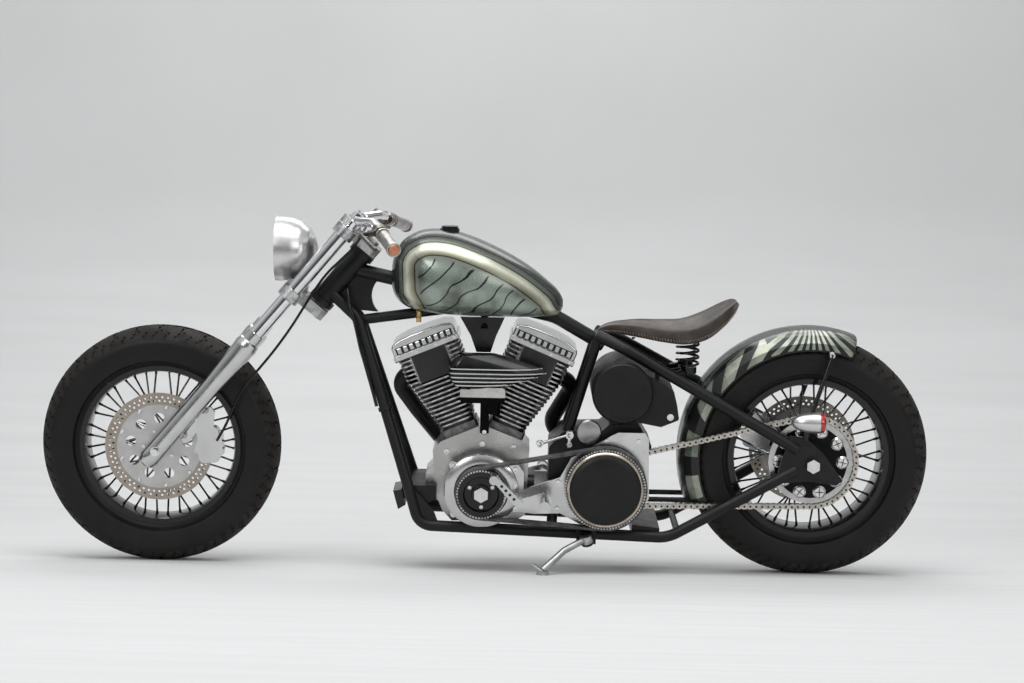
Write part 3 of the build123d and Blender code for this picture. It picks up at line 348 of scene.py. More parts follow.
rubber = tyre_material("tyre_rubber", 9.0, (0.0045, 0.0043, 0.0042), (0.0062, 0.0058, 0.0055), 0.40, 0.55,
                       0.04, 0.26, 0.25)
tread = tyre_material("tyre_tread", 16.0, (0.010, 0.009, 0.008), (0.018, 0.0155, 0.0135), 0.62, 0.85,
                      0.10, 0.25, 0.3)


def spun_mesh(profile, centre, steps, axis=(0, 1, 0)):
    """A skin turned about an axis through centre, from (place along the axis, radius) points."""
    mesh = bmesh.new()
    ring = [mesh.verts.new((centre.x + axis[0] * along, centre.y + axis[1] * along, centre.z + radius))
            for along, radius in profile]
    edges = [mesh.edges.new(pair) for pair in zip(ring, ring[1:])]
    bmesh.ops.spin(mesh, geom=ring + edges, cent=centre, axis=axis, angle=2 * pi, steps=steps, use_merge=True)
    bmesh.ops.remove_doubles(mesh, verts=mesh.verts, dist=0.00001)
    bmesh.ops.recalc_face_normals(mesh, faces=mesh.faces)
    return mesh


def settle(name, mesh, body, materials, split=None, smooth=True):
    """Makes a bmesh of the upright motorcycle a piece of the parked one, riding on one of its bodies."""
    data = bpy.data.meshes.new(name)
    for material in materials:
        data.materials.append(material)
    mesh.transform(PARKED)
    mesh.to_mesh(data)
    mesh.free()
    if smooth:
        data.shade_smooth()
    piece = link_object(name, data)
    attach(piece, body)
    if split:
        split_edges(piece, split)
    return piece


def wall_profile(outer, half, bead):
    """One wall's (y, radius) points from the bead to the tread."""
    foot = [(bead, 0), (bead + 0.002, 0.004), (bead + 0.006, 0.008), (bead + 0.006, 0.012),
            (0.93 * half, 0.016), (0.97 * half, 0.027)]
    shoulder = [(1, 0.70), (0.995, 0.60), (0.975, 0.52), (0.945, 0.455)]
    return ([(y, RIM_EDGE + rise) for y, rise in foot]
            + [(share * half, outer - drop * half) for share, drop in shoulder])


def is_cut(angle, side, hand):
    """Whether a place on the tread, at a share of the half width, lies in a cut."""
    step = angle / (2 * pi) * TREAD_STEPS
    lean = floor(step + 3.4 * side ** 1.7 * hand) % CUT_SPACING
    long_cut = 0.16 < side < 0.97 and lean in (0, 1 if side > 0.5 else 0)
    short_cut = 0.62 < side < 0.97 and lean == 5
    middle_cut = side < 0.07 and floor(step) % CUT_SPACING not in (3, 4)
    return long_cut or short_cut or middle_cut


for end, (outer, half, bead) in TYRES.items():
    axle = AXLES[end]
    walls = wall_profile(outer, half, bead)
    crown = []
    for n in range(15):
        y = 0.92 * half - n * 0.92 * half / 7
        crown.append((y, outer - 0.40 * half * (abs(y) / (0.92 * half)) ** 2.3))
    tyre = spun_mesh(walls + crown + [(-y, radius) for y, radius in reversed(walls)], axle, TREAD_STEPS)
    pressed = []
    for face in tyre.faces:
        middle = face.calc_center_median() - axle
        side = abs(middle.y) / half
        if (middle.x ** 2 + middle.z ** 2) ** 0.5 > outer - 0.46 * half and side < 0.95:
            face.material_index = 1
            if is_cut(atan2(middle.z, middle.x), side, 1 if middle.y > 0 else -1):
                pressed.append(face)
    sunk = bmesh.ops.extrude_face_region(tyre, geom=pressed)["geom"]
    for vert in new_vertices(sunk):
        outward = vert.co - Vector((axle.x, vert.co.y, axle.z))
        vert.co -= outward.normalized() * CUT_DEPTH
    bmesh.ops.delete(tyre, geom=pressed, context="FACES_ONLY")
    bmesh.ops.recalc_face_normals(tyre, faces=tyre.faces)
    skin = settle(end + "_tyre_rubber", tyre, end + "_wheel", [rubber, tread], 38)
    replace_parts(skin, end + "_tyre")

# Hubs and spokes: a turned hub with two flanges, laced to the rim by forty butted spokes, all in bright
# plated steel.
spoke_steel = coated("spoke_steel", (0.40, 0.40, 0.405), (0.55, 0.55, 0.55), 0.10, 0.22, metallic=1.0,
                     scale=30.0, wear=0.0, dusty=0.0)
dress(spoke_steel, "front_hub_and_spokes", "rear_hub_and_spokes")


# Brake discs: ground steel rings on round-windowed alloy carriers, drilled with two rows of small holes.
# The carrier is fixed by nine button bolts.
HOLES = 54
HOLE_RINGS = ((0.124, 0.0), (0.134, 0.5))  # radius, turn in holes
HOLE_EDGE = (0.0038, 0.0030)
CARRIER_EDGE = (0.1125, 0.1145)


def hypotenuse(tree, first, second):
    squares = math_node(tree, "ADD", product(tree, first, first), product(tree, second, second))
    return math_node(tree, "SQRT", squares)


def axle_coordinates(tree, centre):
    """Outputs of a surface's place about an axle in the upright frame: x, z, radius and angle."""
    turn = tree.nodes.new("ShaderNodeMapping")
    turn.vector_type = "TEXTURE"
    turn.inputs["Location"].default_value = PARKED @ centre
    turn.inputs["Rotation"].default_value = (radians(-LEAN), 0, 0)
    tree.links.new(object_place(tree), turn.inputs["Vector"])
    x, y, z = split_vector(tree, turn.outputs["Vector"])  # y runs along the axle
    return x, z, hypotenuse(tree, x, z), math_node(tree, "ARCTAN2", z, x)


def disc_steel(name, centre):
    made, tree, shader = new_material(name, Metallic=1.0)
    radius, angle = axle_coordinates(tree, centre)[2:]
    dots = []
    for ring, start in HOLE_RINGS:
        cell = math_node(tree, "ADD", product(tree, angle, HOLES / (2 * pi)), start + 100)
        part = math_node(tree, "SUBTRACT", math_node(tree, "FRACT", cell), 0.5)
        across = product(tree, part, 2 * pi * ring / HOLES)
        reach = hypotenuse(tree, across, math_node(tree, "SUBTRACT", radius, ring))
        dots.append(smooth_step(tree, reach, *HOLE_EDGE))
    holes = math_node(tree, "MAXIMUM", *dots)
    tree.links.new(math_node(tree, "SUBTRACT", 1.0, holes), shader.inputs["Alpha"])
    band = smooth_step(tree, radius, *CARRIER_EDGE)
    base = place_group(tree, mottle, Scale=25.0, Dark=(0.34, 0.30, 0.255), Light=(0.40, 0.355, 0.31),
                       Smooth=0.28, Rough=0.42)
    carrier = place_group(tree, mottle, Scale=25.0, Dark=(0.48, 0.48, 0.47), Light=(0.54, 0.54, 0.53),
                          Smooth=0.24, Rough=0.34)
    colour = mix_node(tree, band, carrier["Colour"], base["Colour"])
    finish_surface(tree, shader, colour, base["Roughness"], base["Height"])
    return made


dress(disc_steel("front_disc_steel", AXLES["front"]), "front_brake_disc")
dress(disc_steel("rear_disc_steel", AXLES["rear"]), "rear_brake_disc")

# Rear sprocket: a plated steel ring inside the chain on a ten-lobed black alloy carrier, which is bolted to
# the left side of the rear hub.
sprocket_steel, sprocket_tree, sprocket_shader = new_material("sprocket_steel", Metallic=1.0)
sprocket_radius = axle_coordinates(sprocket_tree, AXLES["rear"])[2]
ring_metal = place_group(sprocket_tree, mottle, Scale=30.0, Dark=(0.46, 0.46, 0.45), Light=(0.56, 0.56, 0.55),
                         Smooth=0.24, Rough=0.38)
ring_part = smooth_step(sprocket_tree, sprocket_radius, 0.0975, 0.0985)
ring_colour = mix_node(sprocket_tree, ring_part, (0.012, 0.012, 0.012), ring_metal["Colour"])
finish_surface(sprocket_tree, sprocket_shader, ring_colour, ring_metal["Roughness"], ring_metal["Height"])
dress(sprocket_steel, "rear_sprocket")

# Axles: ground steel bars with polished ends and nuts, pushed through the hubs and held by the fork's
# sliders and the frame's rear plates.
bright_steel = coated("bright_steel", (0.62, 0.62, 0.62), (0.78, 0.78, 0.77), 0.12, 0.25, metallic=1.0,
                      scale=60.0, wear=0.2, dusty=0.15)
dress(bright_steel, "front_axle", "rear_axle")


# Disc and hub screws: button and cap heads in plated steel, nine on the front disc's carrier and five on
# the hub, each set on its seat and facing out of it.
def add_cone(mesh, middle, direction, sides, radius, end_radius, depth):
    """The vertices of a capped cone round a middle point, along a direction."""
    turn = Vector((0, 0, 1)).rotation_difference(direction).to_matrix().to_4x4()
    return bmesh.ops.create_cone(mesh, cap_ends=True, segments=sides, radius1=radius, radius2=end_radius,
                                 depth=depth, matrix=Matrix.Translation(middle) @ turn)["verts"]


def screws(name, body, heads, material=bright_steel, out=Vector((0, 1, 0))):
    """Heads from (x, y, z, radius, height, kind) rows, where y is the seat they stand on."""
    mesh = bmesh.new()
    for x, y, z, radius, height, kind in heads:
        middle = Vector((x, y, z)) + out * height / 2
        top = radius * (0.72 if kind == "button" else 0.96)
        head = add_cone(mesh, middle, out, 6 if kind == "hex" else 16, radius, top, height)
        mesh.normal_update()
        if kind != "hex":
            tops = list({face for vert in head for face in vert.link_faces if face.normal.dot(out) > 0.9})
            bmesh.ops.inset_region(mesh, faces=tops, thickness=radius * 0.35)
            for face in bmesh.ops.extrude_discrete_faces(mesh, faces=tops)["faces"]:
                bmesh.ops.translate(mesh, verts=face.verts, vec=-out * height * 0.5)
    return settle(name, mesh, body, [material], smooth=False)


def around(centre, y, ring, count, start=0.0):
    """Points evenly spaced on a circle about an axle or shaft, on the seat y."""
    turns = [start + 2 * pi * n / count for n in range(count)]
    return [(centre.x + ring * cos(turn), y, centre.z + ring * sin(turn)) for turn in turns]


def ring_of_screws(name, body, points, *head):
    screws(name, body, [(*point, *head) for point in points])


FRONT_SEAT = 0.062
ring_of_screws("front_disc_buttons", "front_wheel", around(AXLES["front"], FRONT_SEAT, 0.1075, 9, 0.35),
               0.0062, 0.003, "button")
ring_of_screws("front_hub_screws", "front_wheel", around(AXLES["front"], FRONT_SEAT, 0.042, 5),
               0.0048, 0.004, "cap")

# Fork: chromed steel tubes slide in cast alloy sliders, which are turned to a taper and polished. The trees
# clamp the tubes, and the sliders hold the axle.
polished_alloy = coated("polished_alloy", (0.56, 0.56, 0.555), (0.62, 0.62, 0.615), 0.18, 0.26, metallic=1.0,
                        scale=14.0, wear=0.0, dusty=0.0, bump=0.04)
chrome = coated("chrome", (0.74, 0.74, 0.75), (0.84, 0.84, 0.85), 0.04, 0.12, metallic=1.0, scale=20.0,
                wear=0.0, dusty=0.05, bump=0.03)
dress(polished_alloy, "fork_sliders")
dress(chrome, "fork_tubes")

# Trees: machined alloy yokes, satin on their faces, that clamp the fork's tubes. The steering stem is
# pressed into the lower one.
satin_alloy = coated("satin_alloy", (0.34, 0.34, 0.345), (0.46, 0.46, 0.46), 0.28, 0.42, metallic=1.0,
                     scale=30.0, bare=(0.75, 0.75, 0.75), wear=0.6, dusty=0.03)
dress(satin_alloy, "lower_tree", "upper_tree")

# Headlamp: a spun aluminium bowl with its turning marks left in, behind a clear domed lens that sits in
# the bowl's rim.
spun, spun_tree, spun_shader = new_material("spun_aluminium", Metallic=1.0)
spun_rings = noise_node(spun_tree, 60.0, 2.0, (60, 0.4, 0.4))
spun_base = place_group(spun_tree, mottle, Scale=10.0, Dark=(0.60, 0.60, 0.59), Light=(0.70, 0.70, 0.69),
                        Smooth=0.28, Rough=0.38)
finish_surface(spun_tree, spun_shader, spun_base["Colour"], spun_base["Roughness"], spun_rings, 0.12)
dress(spun, "headlamp_bowl")
glass, glass_tree, glass_shader = new_material("lamp_glass", Coat_Weight=1.0)
glass_base = place_group(glass_tree, mottle, Scale=30.0, Dark=(0.60, 0.63, 0.65), Light=(0.75, 0.78, 0.80),
                         Smooth=0.04, Rough=0.10)
finish_surface(glass_tree, glass_shader, glass_base["Colour"], glass_base["Roughness"])
dress(glass, "headlamp_lens")

# Handlebar, grips and controls: a chromed bent bar, knurled grips, and bronze-anodised levers and
# fluid box.
dress(chrome, "handlebar")
grip_metal = coated("grip_metal", (0.30, 0.29, 0.28), (0.45, 0.43, 0.41), 0.28, 0.45, metallic=1.0, scale=80.0,
                    bare=(0.7, 0.66, 0.6), wear=0.6, dusty=0.1, bump=0.3)
dress(grip_metal, "grips")
bronze = coated("bronze_anodised", (0.060, 0.052, 0.044), (0.12, 0.105, 0.09), 0.25, 0.40, metallic=0.9,
                scale=30.0, bare=(0.6, 0.55, 0.48), wear=0.7, dusty=0.15)
dress(bronze, "controls_and_levers")

# Calipers: two-piece alloy bodies, polished and lightly oiled, bolted to brackets beside each wheel's
# brake disc.
dress(polished_alloy, "front_caliper", "rear_caliper")

# Frame: mild steel tubes, bent and welded, with a moulded neck, all in satin black enamel. The smaller
# black pieces are gloss enamelled, and the side stand is left in plain satin metal.
frame_enamel = coated("frame_enamel", (0.0045, 0.0045, 0.005), (0.0065, 0.0065, 0.007), 0.36, 0.46, scale=20.0,
                      bare=(0.05, 0.05, 0.05), wear=0.1, dusty=0.02, bump=0.06, gleam=0.30)
dress(frame_enamel, "frame_backbone", "frame_cradle")
dress(satin_alloy, "side_stand")
gloss_enamel = coated("gloss_enamel", (0.003, 0.003, 0.0035), (0.005, 0.005, 0.0055), 0.16, 0.28, scale=16.0,
                      bare=(0.06, 0.06, 0.06), wear=0.1, dusty=0.0, bump=0.04, gleam=0.4)
dress(gloss_enamel, "fender_struts", "regulator", "brake_hose", "wiring_conduit")

# Crankcase: two sand-cast alloy halves, bead-blasted to a satin grey, screwed together and bolted into the
# frame's cradle.
cast_alloy = coated("cast_alloy", (0.43, 0.425, 0.415), (0.50, 0.495, 0.485), 0.26, 0.36, metallic=1.0,
                    scale=14.0, bare=(0.7, 0.7, 0.69), wear=0.3, dusty=0.0, bump=0.2)
dress(cast_alloy, "crankcase")

# Cylinders: cast iron barrels and heads in black enamel, whose fins were machined bright at their edges.
# They stand on the crankcase, one leaning forward and one back.
CRANK = Vector((0.8787, 0, 0.235))
CYLINDER_LEAN = 22.5
FIN_SIDES = ((0.052, 0.060), (0.0765, 0.0745))  # bright from and to, across the motorcycle
FIN_FRONT = (0.050, 0.056)


def along_axis(tree, vector, axis):
    """How far a vector output reaches along an axis."""
    node = tree.nodes.new("ShaderNodeVectorMath")
    node.operation = "DOT_PRODUCT"
    node.inputs[1].default_value = axis
    tree.links.new(vector, node.inputs[0])
    return node.outputs["Value"]


def between(tree, value, rise, fall):
    """1 where a value is past its rise and before its fall, with soft ends."""
    return product(tree, smooth_step(tree, value, *rise), smooth_step(tree, value, *fall))


def fin_enamel(name, lean):
    made, tree, shader = new_material(name)
    parked_axes = PARKED.to_3x3()
    forward = parked_axes @ Vector((cos(radians(lean)), 0, -sin(radians(lean))))
    sideways = parked_axes @ Vector((0, 1, 0))
    upward = parked_axes @ Vector((sin(radians(lean)), 0, cos(radians(lean))))
    face = tree.nodes.new("ShaderNodeNewGeometry")
    facing_up = math_node(tree, "ABSOLUTE", along_axis(tree, face.outputs["True Normal"], upward))
    moved = tree.nodes.new("ShaderNodeVectorMath")
    moved.operation = "SUBTRACT"
    moved.inputs[1].default_value = PARKED @ CRANK
    tree.links.new(object_place(tree), moved.inputs[0])
    reach = math_node(tree, "ABSOLUTE", along_axis(tree, moved.outputs[0], sideways))
    ahead = math_node(tree, "ABSOLUTE", along_axis(tree, moved.outputs[0], forward))
    at_side = between(tree, reach, *FIN_SIDES)
    at_edge = math_node(tree, "MAXIMUM", at_side, smooth_step(tree, ahead, *FIN_FRONT))
    bright = product(tree, smooth_step(tree, facing_up, 0.5, 0.3), at_edge)
    enamel = place_group(tree, mottle, Scale=60.0, Dark=(0.004, 0.004, 0.0045), Light=(0.007, 0.007, 0.0075),
                         Smooth=0.30, Rough=0.45)
    metal = place_group(tree, mottle, Scale=70.0, Dark=(0.30, 0.30, 0.30), Light=(0.62, 0.62, 0.61),
                        Smooth=0.25, Rough=0.40)
    colour = mix_node(tree, bright, enamel["Colour"], metal["Colour"])
    finish_surface(tree, shader, colour, enamel["Roughness"], enamel["Height"], 0.2)
    tree.links.new(bright, shader.inputs["Metallic"])
    return made


dress(fin_enamel("front_fins", CYLINDER_LEAN), "front_cylinder")
dress(fin_enamel("rear_fins", -CYLINDER_LEAN), "rear_cylinder")

# Rocker boxes: die-cast alloy covers with a bolted flange, a ribbed band and an arched top, all polished. A
# thin black band lies behind the ribs and shows dark in the recesses between them, and a black gasket lies
# under each cover.
rocker_polish = coated("rocker_polish", (0.44, 0.44, 0.44), (0.52, 0.52, 0.515), 0.10, 0.18, metallic=1.0,
                       scale=9.0, wear=0.0, dusty=0.0, bump=0.03)
HEAD_TOP = 0.396
BAND_Z = HEAD_TOP + 0.0265
RIBS = 9
RIB_PITCH = 0.0175
ROCKER_FLANGE = [(-0.093, 0.001), (-0.093, 0.015), (0.093, 0.015), (0.093, 0.001)]
ROCKER_GASKET = [(-0.092, -0.001), (-0.092, 0.0015), (0.092, 0.0015), (0.092, -0.001)]
ARCH_HALF = [(0.030, 0.0560), (0.062, 0.0535), (0.085, 0.046), (0.090, 0.038), (0.090, 0.013)]
ROCKER_ARCH = [(-x, z) for x, z in reversed(ARCH_HALF)] + ARCH_HALF


def thicken(mesh, face, travel):
    """Extrudes a face by a vector."""
    far = bmesh.ops.extrude_face_region(mesh, geom=[face])["geom"]
    bmesh.ops.translate(mesh, vec=travel, verts=new_vertices(far))


def add_block(mesh, place, size):
    bmesh.ops.create_cube(mesh, size=1, matrix=place @ Matrix.Diagonal((*size, 1)))


def rounded(piece, width, segments):
    rounding = piece.modifiers.new("rounded", "BEVEL")
    rounding.width = width
    rounding.segments = segments
    return rounding


def rocker_part(name, stand, outline, half, material, width):
    """An outline across a cylinder's top, extruded to both sides and rounded."""
    mesh = bmesh.new()
    face = mesh.faces.new([mesh.verts.new((x, -half, HEAD_TOP + z)) for x, z in outline])
    thicken(mesh, face, (0, 2 * half, 0))
    bmesh.ops.recalc_face_normals(mesh, faces=mesh.faces)
    mesh.transform(stand)
    piece = settle(name, mesh, "bike", [material])
    rounding = rounded(piece, width, 4)
    rounding.limit_method = "ANGLE"
    rounding.angle_limit = radians(30)
    rounding.harden_normals = True
    return piece


rocker_heads = []
for end, lean in (("front", CYLINDER_LEAN), ("rear", -CYLINDER_LEAN)):
    stand = Matrix.Translation(CRANK) @ Matrix.Rotation(radians(lean), 4, "Y")
    arch = rocker_part(end + "_rocker_cover", stand, ROCKER_ARCH, 0.0765, rocker_polish, 0.007)
    rocker_part(end + "_rocker_flange", stand, ROCKER_FLANGE, 0.0785, rocker_polish, 0.0015)
    rocker_part(end + "_rocker_gasket", stand, ROCKER_GASKET, 0.0780, gloss_enamel, 0.0003)
    if end == "front":
        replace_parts(arch, "rocker_boxes")
    band = bmesh.new()
    ribs = bmesh.new()
    for side in (1, -1):
        add_block(band, stand @ Matrix.Translation((0, side * 0.0768, BAND_Z)), (0.160, 0.0012, 0.019))
        for n in range(RIBS):
            rib = Matrix.Translation(((n - RIBS // 2) * RIB_PITCH, side * 0.0785, BAND_Z))
            add_block(ribs, stand @ rib, (0.0118, 0.0050, 0.0155))
    for name, mesh, material, width in (("band", band, gloss_enamel, 0.0002),
                                        ("ribs", ribs, rocker_polish, 0.0016)):
        piece = settle(f"{end}_rocker_{name}", mesh, "bike", [material], smooth=False)
        rounded(piece, width, 2)
    for along in (-0.080, -0.027, 0.027, 0.080):
        seat = stand @ Vector((along, 0.0785, HEAD_TOP + 0.008))
        rocker_heads.append((*seat, 0.0045, 0.003, "cap"))
screws("rocker_screws", "bike", rocker_heads)

# Carburettor: its body is cast in alloy, over a black post that carries it. The pushrod tubes are chromed
# steel, and the engine's top mount is black plate.
carb_metal, carb_tree, carb_shader = new_material("carburettor_metal", Metallic=1.0)
carb_base = place_group(carb_tree, mottle, Scale=30.0, Dark=(0.50, 0.49, 0.47), Light=(0.60, 0.59, 0.57),
                        Smooth=0.22, Rough=0.34)
carb_low = smooth_step(carb_tree, split_vector(carb_tree, object_place(carb_tree))[2], 0.464, 0.462)
carb_colour = mix_node(carb_tree, carb_low, carb_base["Colour"], (0.006, 0.006, 0.006))
finish_surface(carb_tree, carb_shader, carb_colour, carb_base["Roughness"], carb_base["Height"])
dress(carb_metal, "carburettor")
dress(chrome, "pushrod_tubes")
dress(gloss_enamel, "engine_top_mount")

# Air cleaner: a cast tear-shaped body with five level fins round it, polished at their edges over black.
# It is fixed on the carburettor's mouth.
CLEANER = (0.922, 0.556, 0.722)  # front centre x, z, tip centre x
CLEANER_Y = (0.102, 0.156)
CLEANER_FINS = (-0.036, -0.025, -0.014, -0.003, 0.009)
FIN_THICKNESS = 0.0032


def lofted(rings):
    """A closed skin drawn from ring to ring by extruding each into the next, and capped at both ends."""
    mesh = bmesh.new()
    first = [mesh.verts.new(point) for point in rings[0]]
    edges = [mesh.edges.new((first[n], first[(n + 1) % len(first)])) for n in range(len(first))]
    loop = first
    for points in rings[1:]:
        grown = bmesh.ops.extrude_edge_only(mesh, edges=edges)["geom"]
        fresh = set(new_vertices(grown))
        loop = [next(edge.other_vert(vert) for edge in vert.link_edges if edge.other_vert(vert) in fresh)
                for vert in loop]
        edges = [item for item in grown if isinstance(item, bmesh.types.BMEdge)]
        for vert, point in zip(loop, points):
            vert.co = point
    mesh.faces.new(first)
    mesh.faces.new(loop)
    bmesh.ops.recalc_face_normals(mesh, faces=mesh.faces)
    return mesh


def cleaner_ring(level, grow, height=0.0):
    """The body's tear shape seen from above at one level, grown outwards; height moves it up."""
    front_x, middle_z, tip_x = CLEANER
    rise = abs(level) / 0.052
    nose = front_x + 0.050 * max(0.0, 1 - rise ** 2) ** 0.5 + grow
    tail = tip_x - 0.012 + 0.16 * rise ** 1.4 - grow
    near, far = CLEANER_Y[1] - 0.012 * rise ** 2 + grow, CLEANER_Y[0] - grow
    corner = 0.022
    ring = [(tail, far), (tail, far + 0.018), (tail + 0.030, near - 0.016), (tail + 0.075, near - 0.003),
            (tail + 0.10, near)]
    turns = [step * pi / 12 for step in range(7)]
    ring += [(nose - corner + corner * sin(turn), near - corner + corner * cos(turn)) for turn in turns]
    ring += [(nose, far)]
    return [(x, y, middle_z + level + height) for x, y in ring]


cleaner_skin = lofted([cleaner_ring(n * 0.0047, -0.003) for n in range(-10, 11)])
cleaner_body = settle("air_cleaner_body", cleaner_skin, "bike", [gloss_enamel])
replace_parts(cleaner_body, "air_cleaner")
rounded(cleaner_body, 0.005, 3).angle_limit = radians(50)
cleaner_fins = bmesh.new()
for level in CLEANER_FINS:
    ring = cleaner_ring(level, 0.001, -FIN_THICKNESS / 2)
    thicken(cleaner_fins, cleaner_fins.faces.new([cleaner_fins.verts.new(point) for point in ring]),
            (0, 0, FIN_THICKNESS))
bmesh.ops.recalc_face_normals(cleaner_fins, faces=cleaner_fins.faces)
settle("air_cleaner_fins", cleaner_fins, "bike", [polished_alloy], smooth=False)

# Exhaust: steel tubes, bent and welded, that run from both heads along the right side. They are in black
# heat-resistant paint.
dress(frame_enamel, "exhaust_pipes")

# Gearbox and primary drive: a black cast gearbox behind a machined alloy plate. The belt outside it runs
# from the engine's toothed pulley to the clutch's drum.
dress(frame_enamel, "gearbox")
dress(polished_alloy, "motor_plate")
belt_rubber = coated("belt_rubber", (0.010, 0.010, 0.010), (0.020, 0.020, 0.020), 0.5, 0.7, scale=90.0,
                     wear=0.1, dusty=0.4)

# Front pulley: a black toothed wheel with a dished face, a hex nut and three screws on the crankshaft,
# inside a polished ring on the plate.
CLUTCH = Vector((0.5497, 0, 0.2545))
DRUM_IN, DRUM_OUT = 0.148, 0.190


def turned_piece(name, profile, centre, material, steps=96, split=30, axis=(0, 1, 0)):
    return settle(name, spun_mesh(profile, centre, steps, axis), "bike", [material], split)


SURROUND = [(0.132, 0.0700), (0.1440, 0.0700), (0.1470, 0.0730), (0.1470, 0.0780), (0.1445, 0.0900),
            (0.1410, 0.0980), (0.1370, 0.1000), (0.132, 0.1000), (0.132, 0.0700)]
turned_piece("pulley_surround", SURROUND, CRANK, polished_alloy)
FRONT_PULLEY = [(DRUM_IN, 0.0), (DRUM_IN, 0.0635), (DRUM_OUT - 0.002, 0.0635), (DRUM_OUT, 0.0615),
                (DRUM_OUT, 0.048), (DRUM_OUT - 0.003, 0.046), (DRUM_OUT - 0.012, 0.044),
                (DRUM_OUT - 0.012, 0.026), (DRUM_OUT - 0.004, 0.024), (DRUM_OUT - 0.004, 0.0)]
front_pulley = turned_piece("front_pulley", FRONT_PULLEY, CRANK, gloss_enamel, 64)
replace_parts(front_pulley, "primary_pulleys")
screws("crank_nut", "bike", [(CRANK.x, DRUM_OUT - 0.005, CRANK.z, 0.0215, 0.013, "hex")])
ring_of_screws("front_pulley_screws", "bike", around(CRANK, DRUM_OUT - 0.013, 0.035, 3, 0.5),
               0.0052, 0.005, "cap")

# Clutch: a black spun dome inside a turned, champagne-anodised ring, on the rear pulley's toothed drum. The
# drum turns on the gearbox's shaft.
CLUTCH_DRUM = [(DRUM_IN, 0.0), (DRUM_IN, 0.1055), (DRUM_OUT - 0.002, 0.1055), (DRUM_OUT - 0.002, 0.0)]
turned_piece("clutch_drum", CLUTCH_DRUM, CLUTCH, belt_rubber)
champagne = coated("champagne_anodised", (0.42, 0.37, 0.30), (0.52, 0.46, 0.38), 0.22, 0.32, metallic=1.0,
                   scale=30.0, dusty=0.02)
CLUTCH_RING = [(DRUM_OUT - 0.002, 0.092), (DRUM_OUT - 0.002, 0.1015), (DRUM_OUT + 0.003, 0.1015),
               (DRUM_OUT + 0.006, 0.0985), (DRUM_OUT + 0.006, 0.0955), (DRUM_OUT + 0.003, 0.092)]
turned_piece("clutch_ring", CLUTCH_RING + CLUTCH_RING[:1], CLUTCH, champagne)
CLUTCH_DOME = [(-0.002, 0.0945), (0.004, 0.0945), (0.008, 0.0900), (0.0105, 0.0800), (0.0125, 0.062),
               (0.0140, 0.040), (0.0148, 0.020), (0.0150, 0.0)]
turned_piece("clutch_dome", [(DRUM_OUT + rise, radius) for rise, radius in CLUTCH_DOME], CLUTCH, frame_enamel)


def pulley_teeth(name, centre, reach, count):
    """Square belt teeth round a drum's outer end, as one mesh of small blocks."""
    mesh = bmesh.new()
    for n, point in enumerate(around(centre, DRUM_OUT - 0.0035, reach, count)):
        turn = Matrix.Rotation(-2 * pi * n / count, 4, "Y")
        add_block(mesh, Matrix.Translation(point) @ turn, (0.004, 0.007, 0.0042))
    settle(name, mesh, "bike", [satin_alloy], smooth=False)


pulley_teeth("clutch_teeth", CLUTCH, 0.1055, 84)
pulley_teeth("front_pulley_teeth", CRANK, 0.0635, 50)

# Plate and case screws: cap screws round the motor plate and the crankcase, and one wide button with a
# smaller one on it at the plate's middle.
PLATE = 0.136
screws("motor_plate_screws", "bike", [
    (0.789, PLATE, 0.294, 0.0075, 0.006, "cap"), (0.7855, PLATE, 0.188, 0.0075, 0.006, "cap"),
    (0.765, PLATE, 0.225, 0.0065, 0.006, "cap"), (0.674, PLATE, 0.262, 0.0075, 0.006, "cap"),
    (0.676, PLATE, 0.190, 0.0075, 0.006, "cap"), (0.957, PLATE, 0.304, 0.006, 0.005, "cap"),
    (0.952, PLATE, 0.170, 0.006, 0.005, "cap"), (0.548, PLATE, 0.376, 0.0065, 0.005, "cap"),
    (0.462, PLATE, 0.377, 0.0065, 0.005, "cap"), (0.449, PLATE, 0.236, 0.0065, 0.005, "cap"),
    (0.712, PLATE, 0.202, 0.017, 0.010, "button"), (0.712, PLATE + 0.010, 0.202, 0.011, 0.006, "button"),
])
screws("crankcase_screws", "bike", [
    (0.8795, 0.078, 0.352, 0.008, 0.007, "cap"), (0.874, 0.098, 0.388, 0.006, 0.005, "cap"),
    (0.975, 0.078, 0.330, 0.007, 0.006, "cap"), (0.795, 0.078, 0.345, 0.007, 0.006, "cap"),
    (0.970, 0.078, 0.200, 0.007, 0.006, "cap"),
])
dress(belt_rubber, "primary_belt")

# Drive chain: one closed loop of nickel-plated steel links, from the gearbox's sprocket round the rear
# wheel's.
nickel = coated("nickel_plate", (0.42, 0.39, 0.34), (0.62, 0.585, 0.53), 0.22, 0.40, metallic=1.0, scale=120.0,
                wear=0.3, dusty=0.2)
dress(nickel, "drive_chain")


# Gearbox linkage and cover: a plated rod with an eye at each end on a short post, and a round cast cover
# behind it.
def bar_piece(name, start, end, radius, material, slot, body="bike", sides=20, end_radius=None):
    """A straight round bar between two points of the upright motorcycle."""
    mesh = bmesh.new()
    start, end = Vector(start), Vector(end)
    run = end - start
    add_cone(mesh, (start + end) / 2, run, sides, radius, end_radius or radius, run.length)
    settle(name, mesh, body, [material], 40)


bar_piece("linkage_rod", (0.725, 0.112, 0.361), (0.646, 0.112, 0.387), 0.0042, polished_alloy, "plate_alloy")
screws("linkage_eyes", "bike", [(0.725, 0.104, 0.361, 0.010, 0.016, "cap"),
                                (0.646, 0.104, 0.387, 0.011, 0.018, "cap"),
                                (0.646, 0.100, 0.360, 0.008, 0.016, "cap")])
bar_piece("linkage_post", (0.646, 0.108, 0.352), (0.646, 0.108, 0.398), 0.006, polished_alloy, "plate_alloy")
COVER = [(0.080, 0.0), (0.080, 0.034), (0.098, 0.034), (0.102, 0.031), (0.104, 0.024), (0.104, 0.0)]
turned_piece("gearbox_cover", COVER, Vector((0.594, 0.0, 0.392)), cast_alloy, 40)

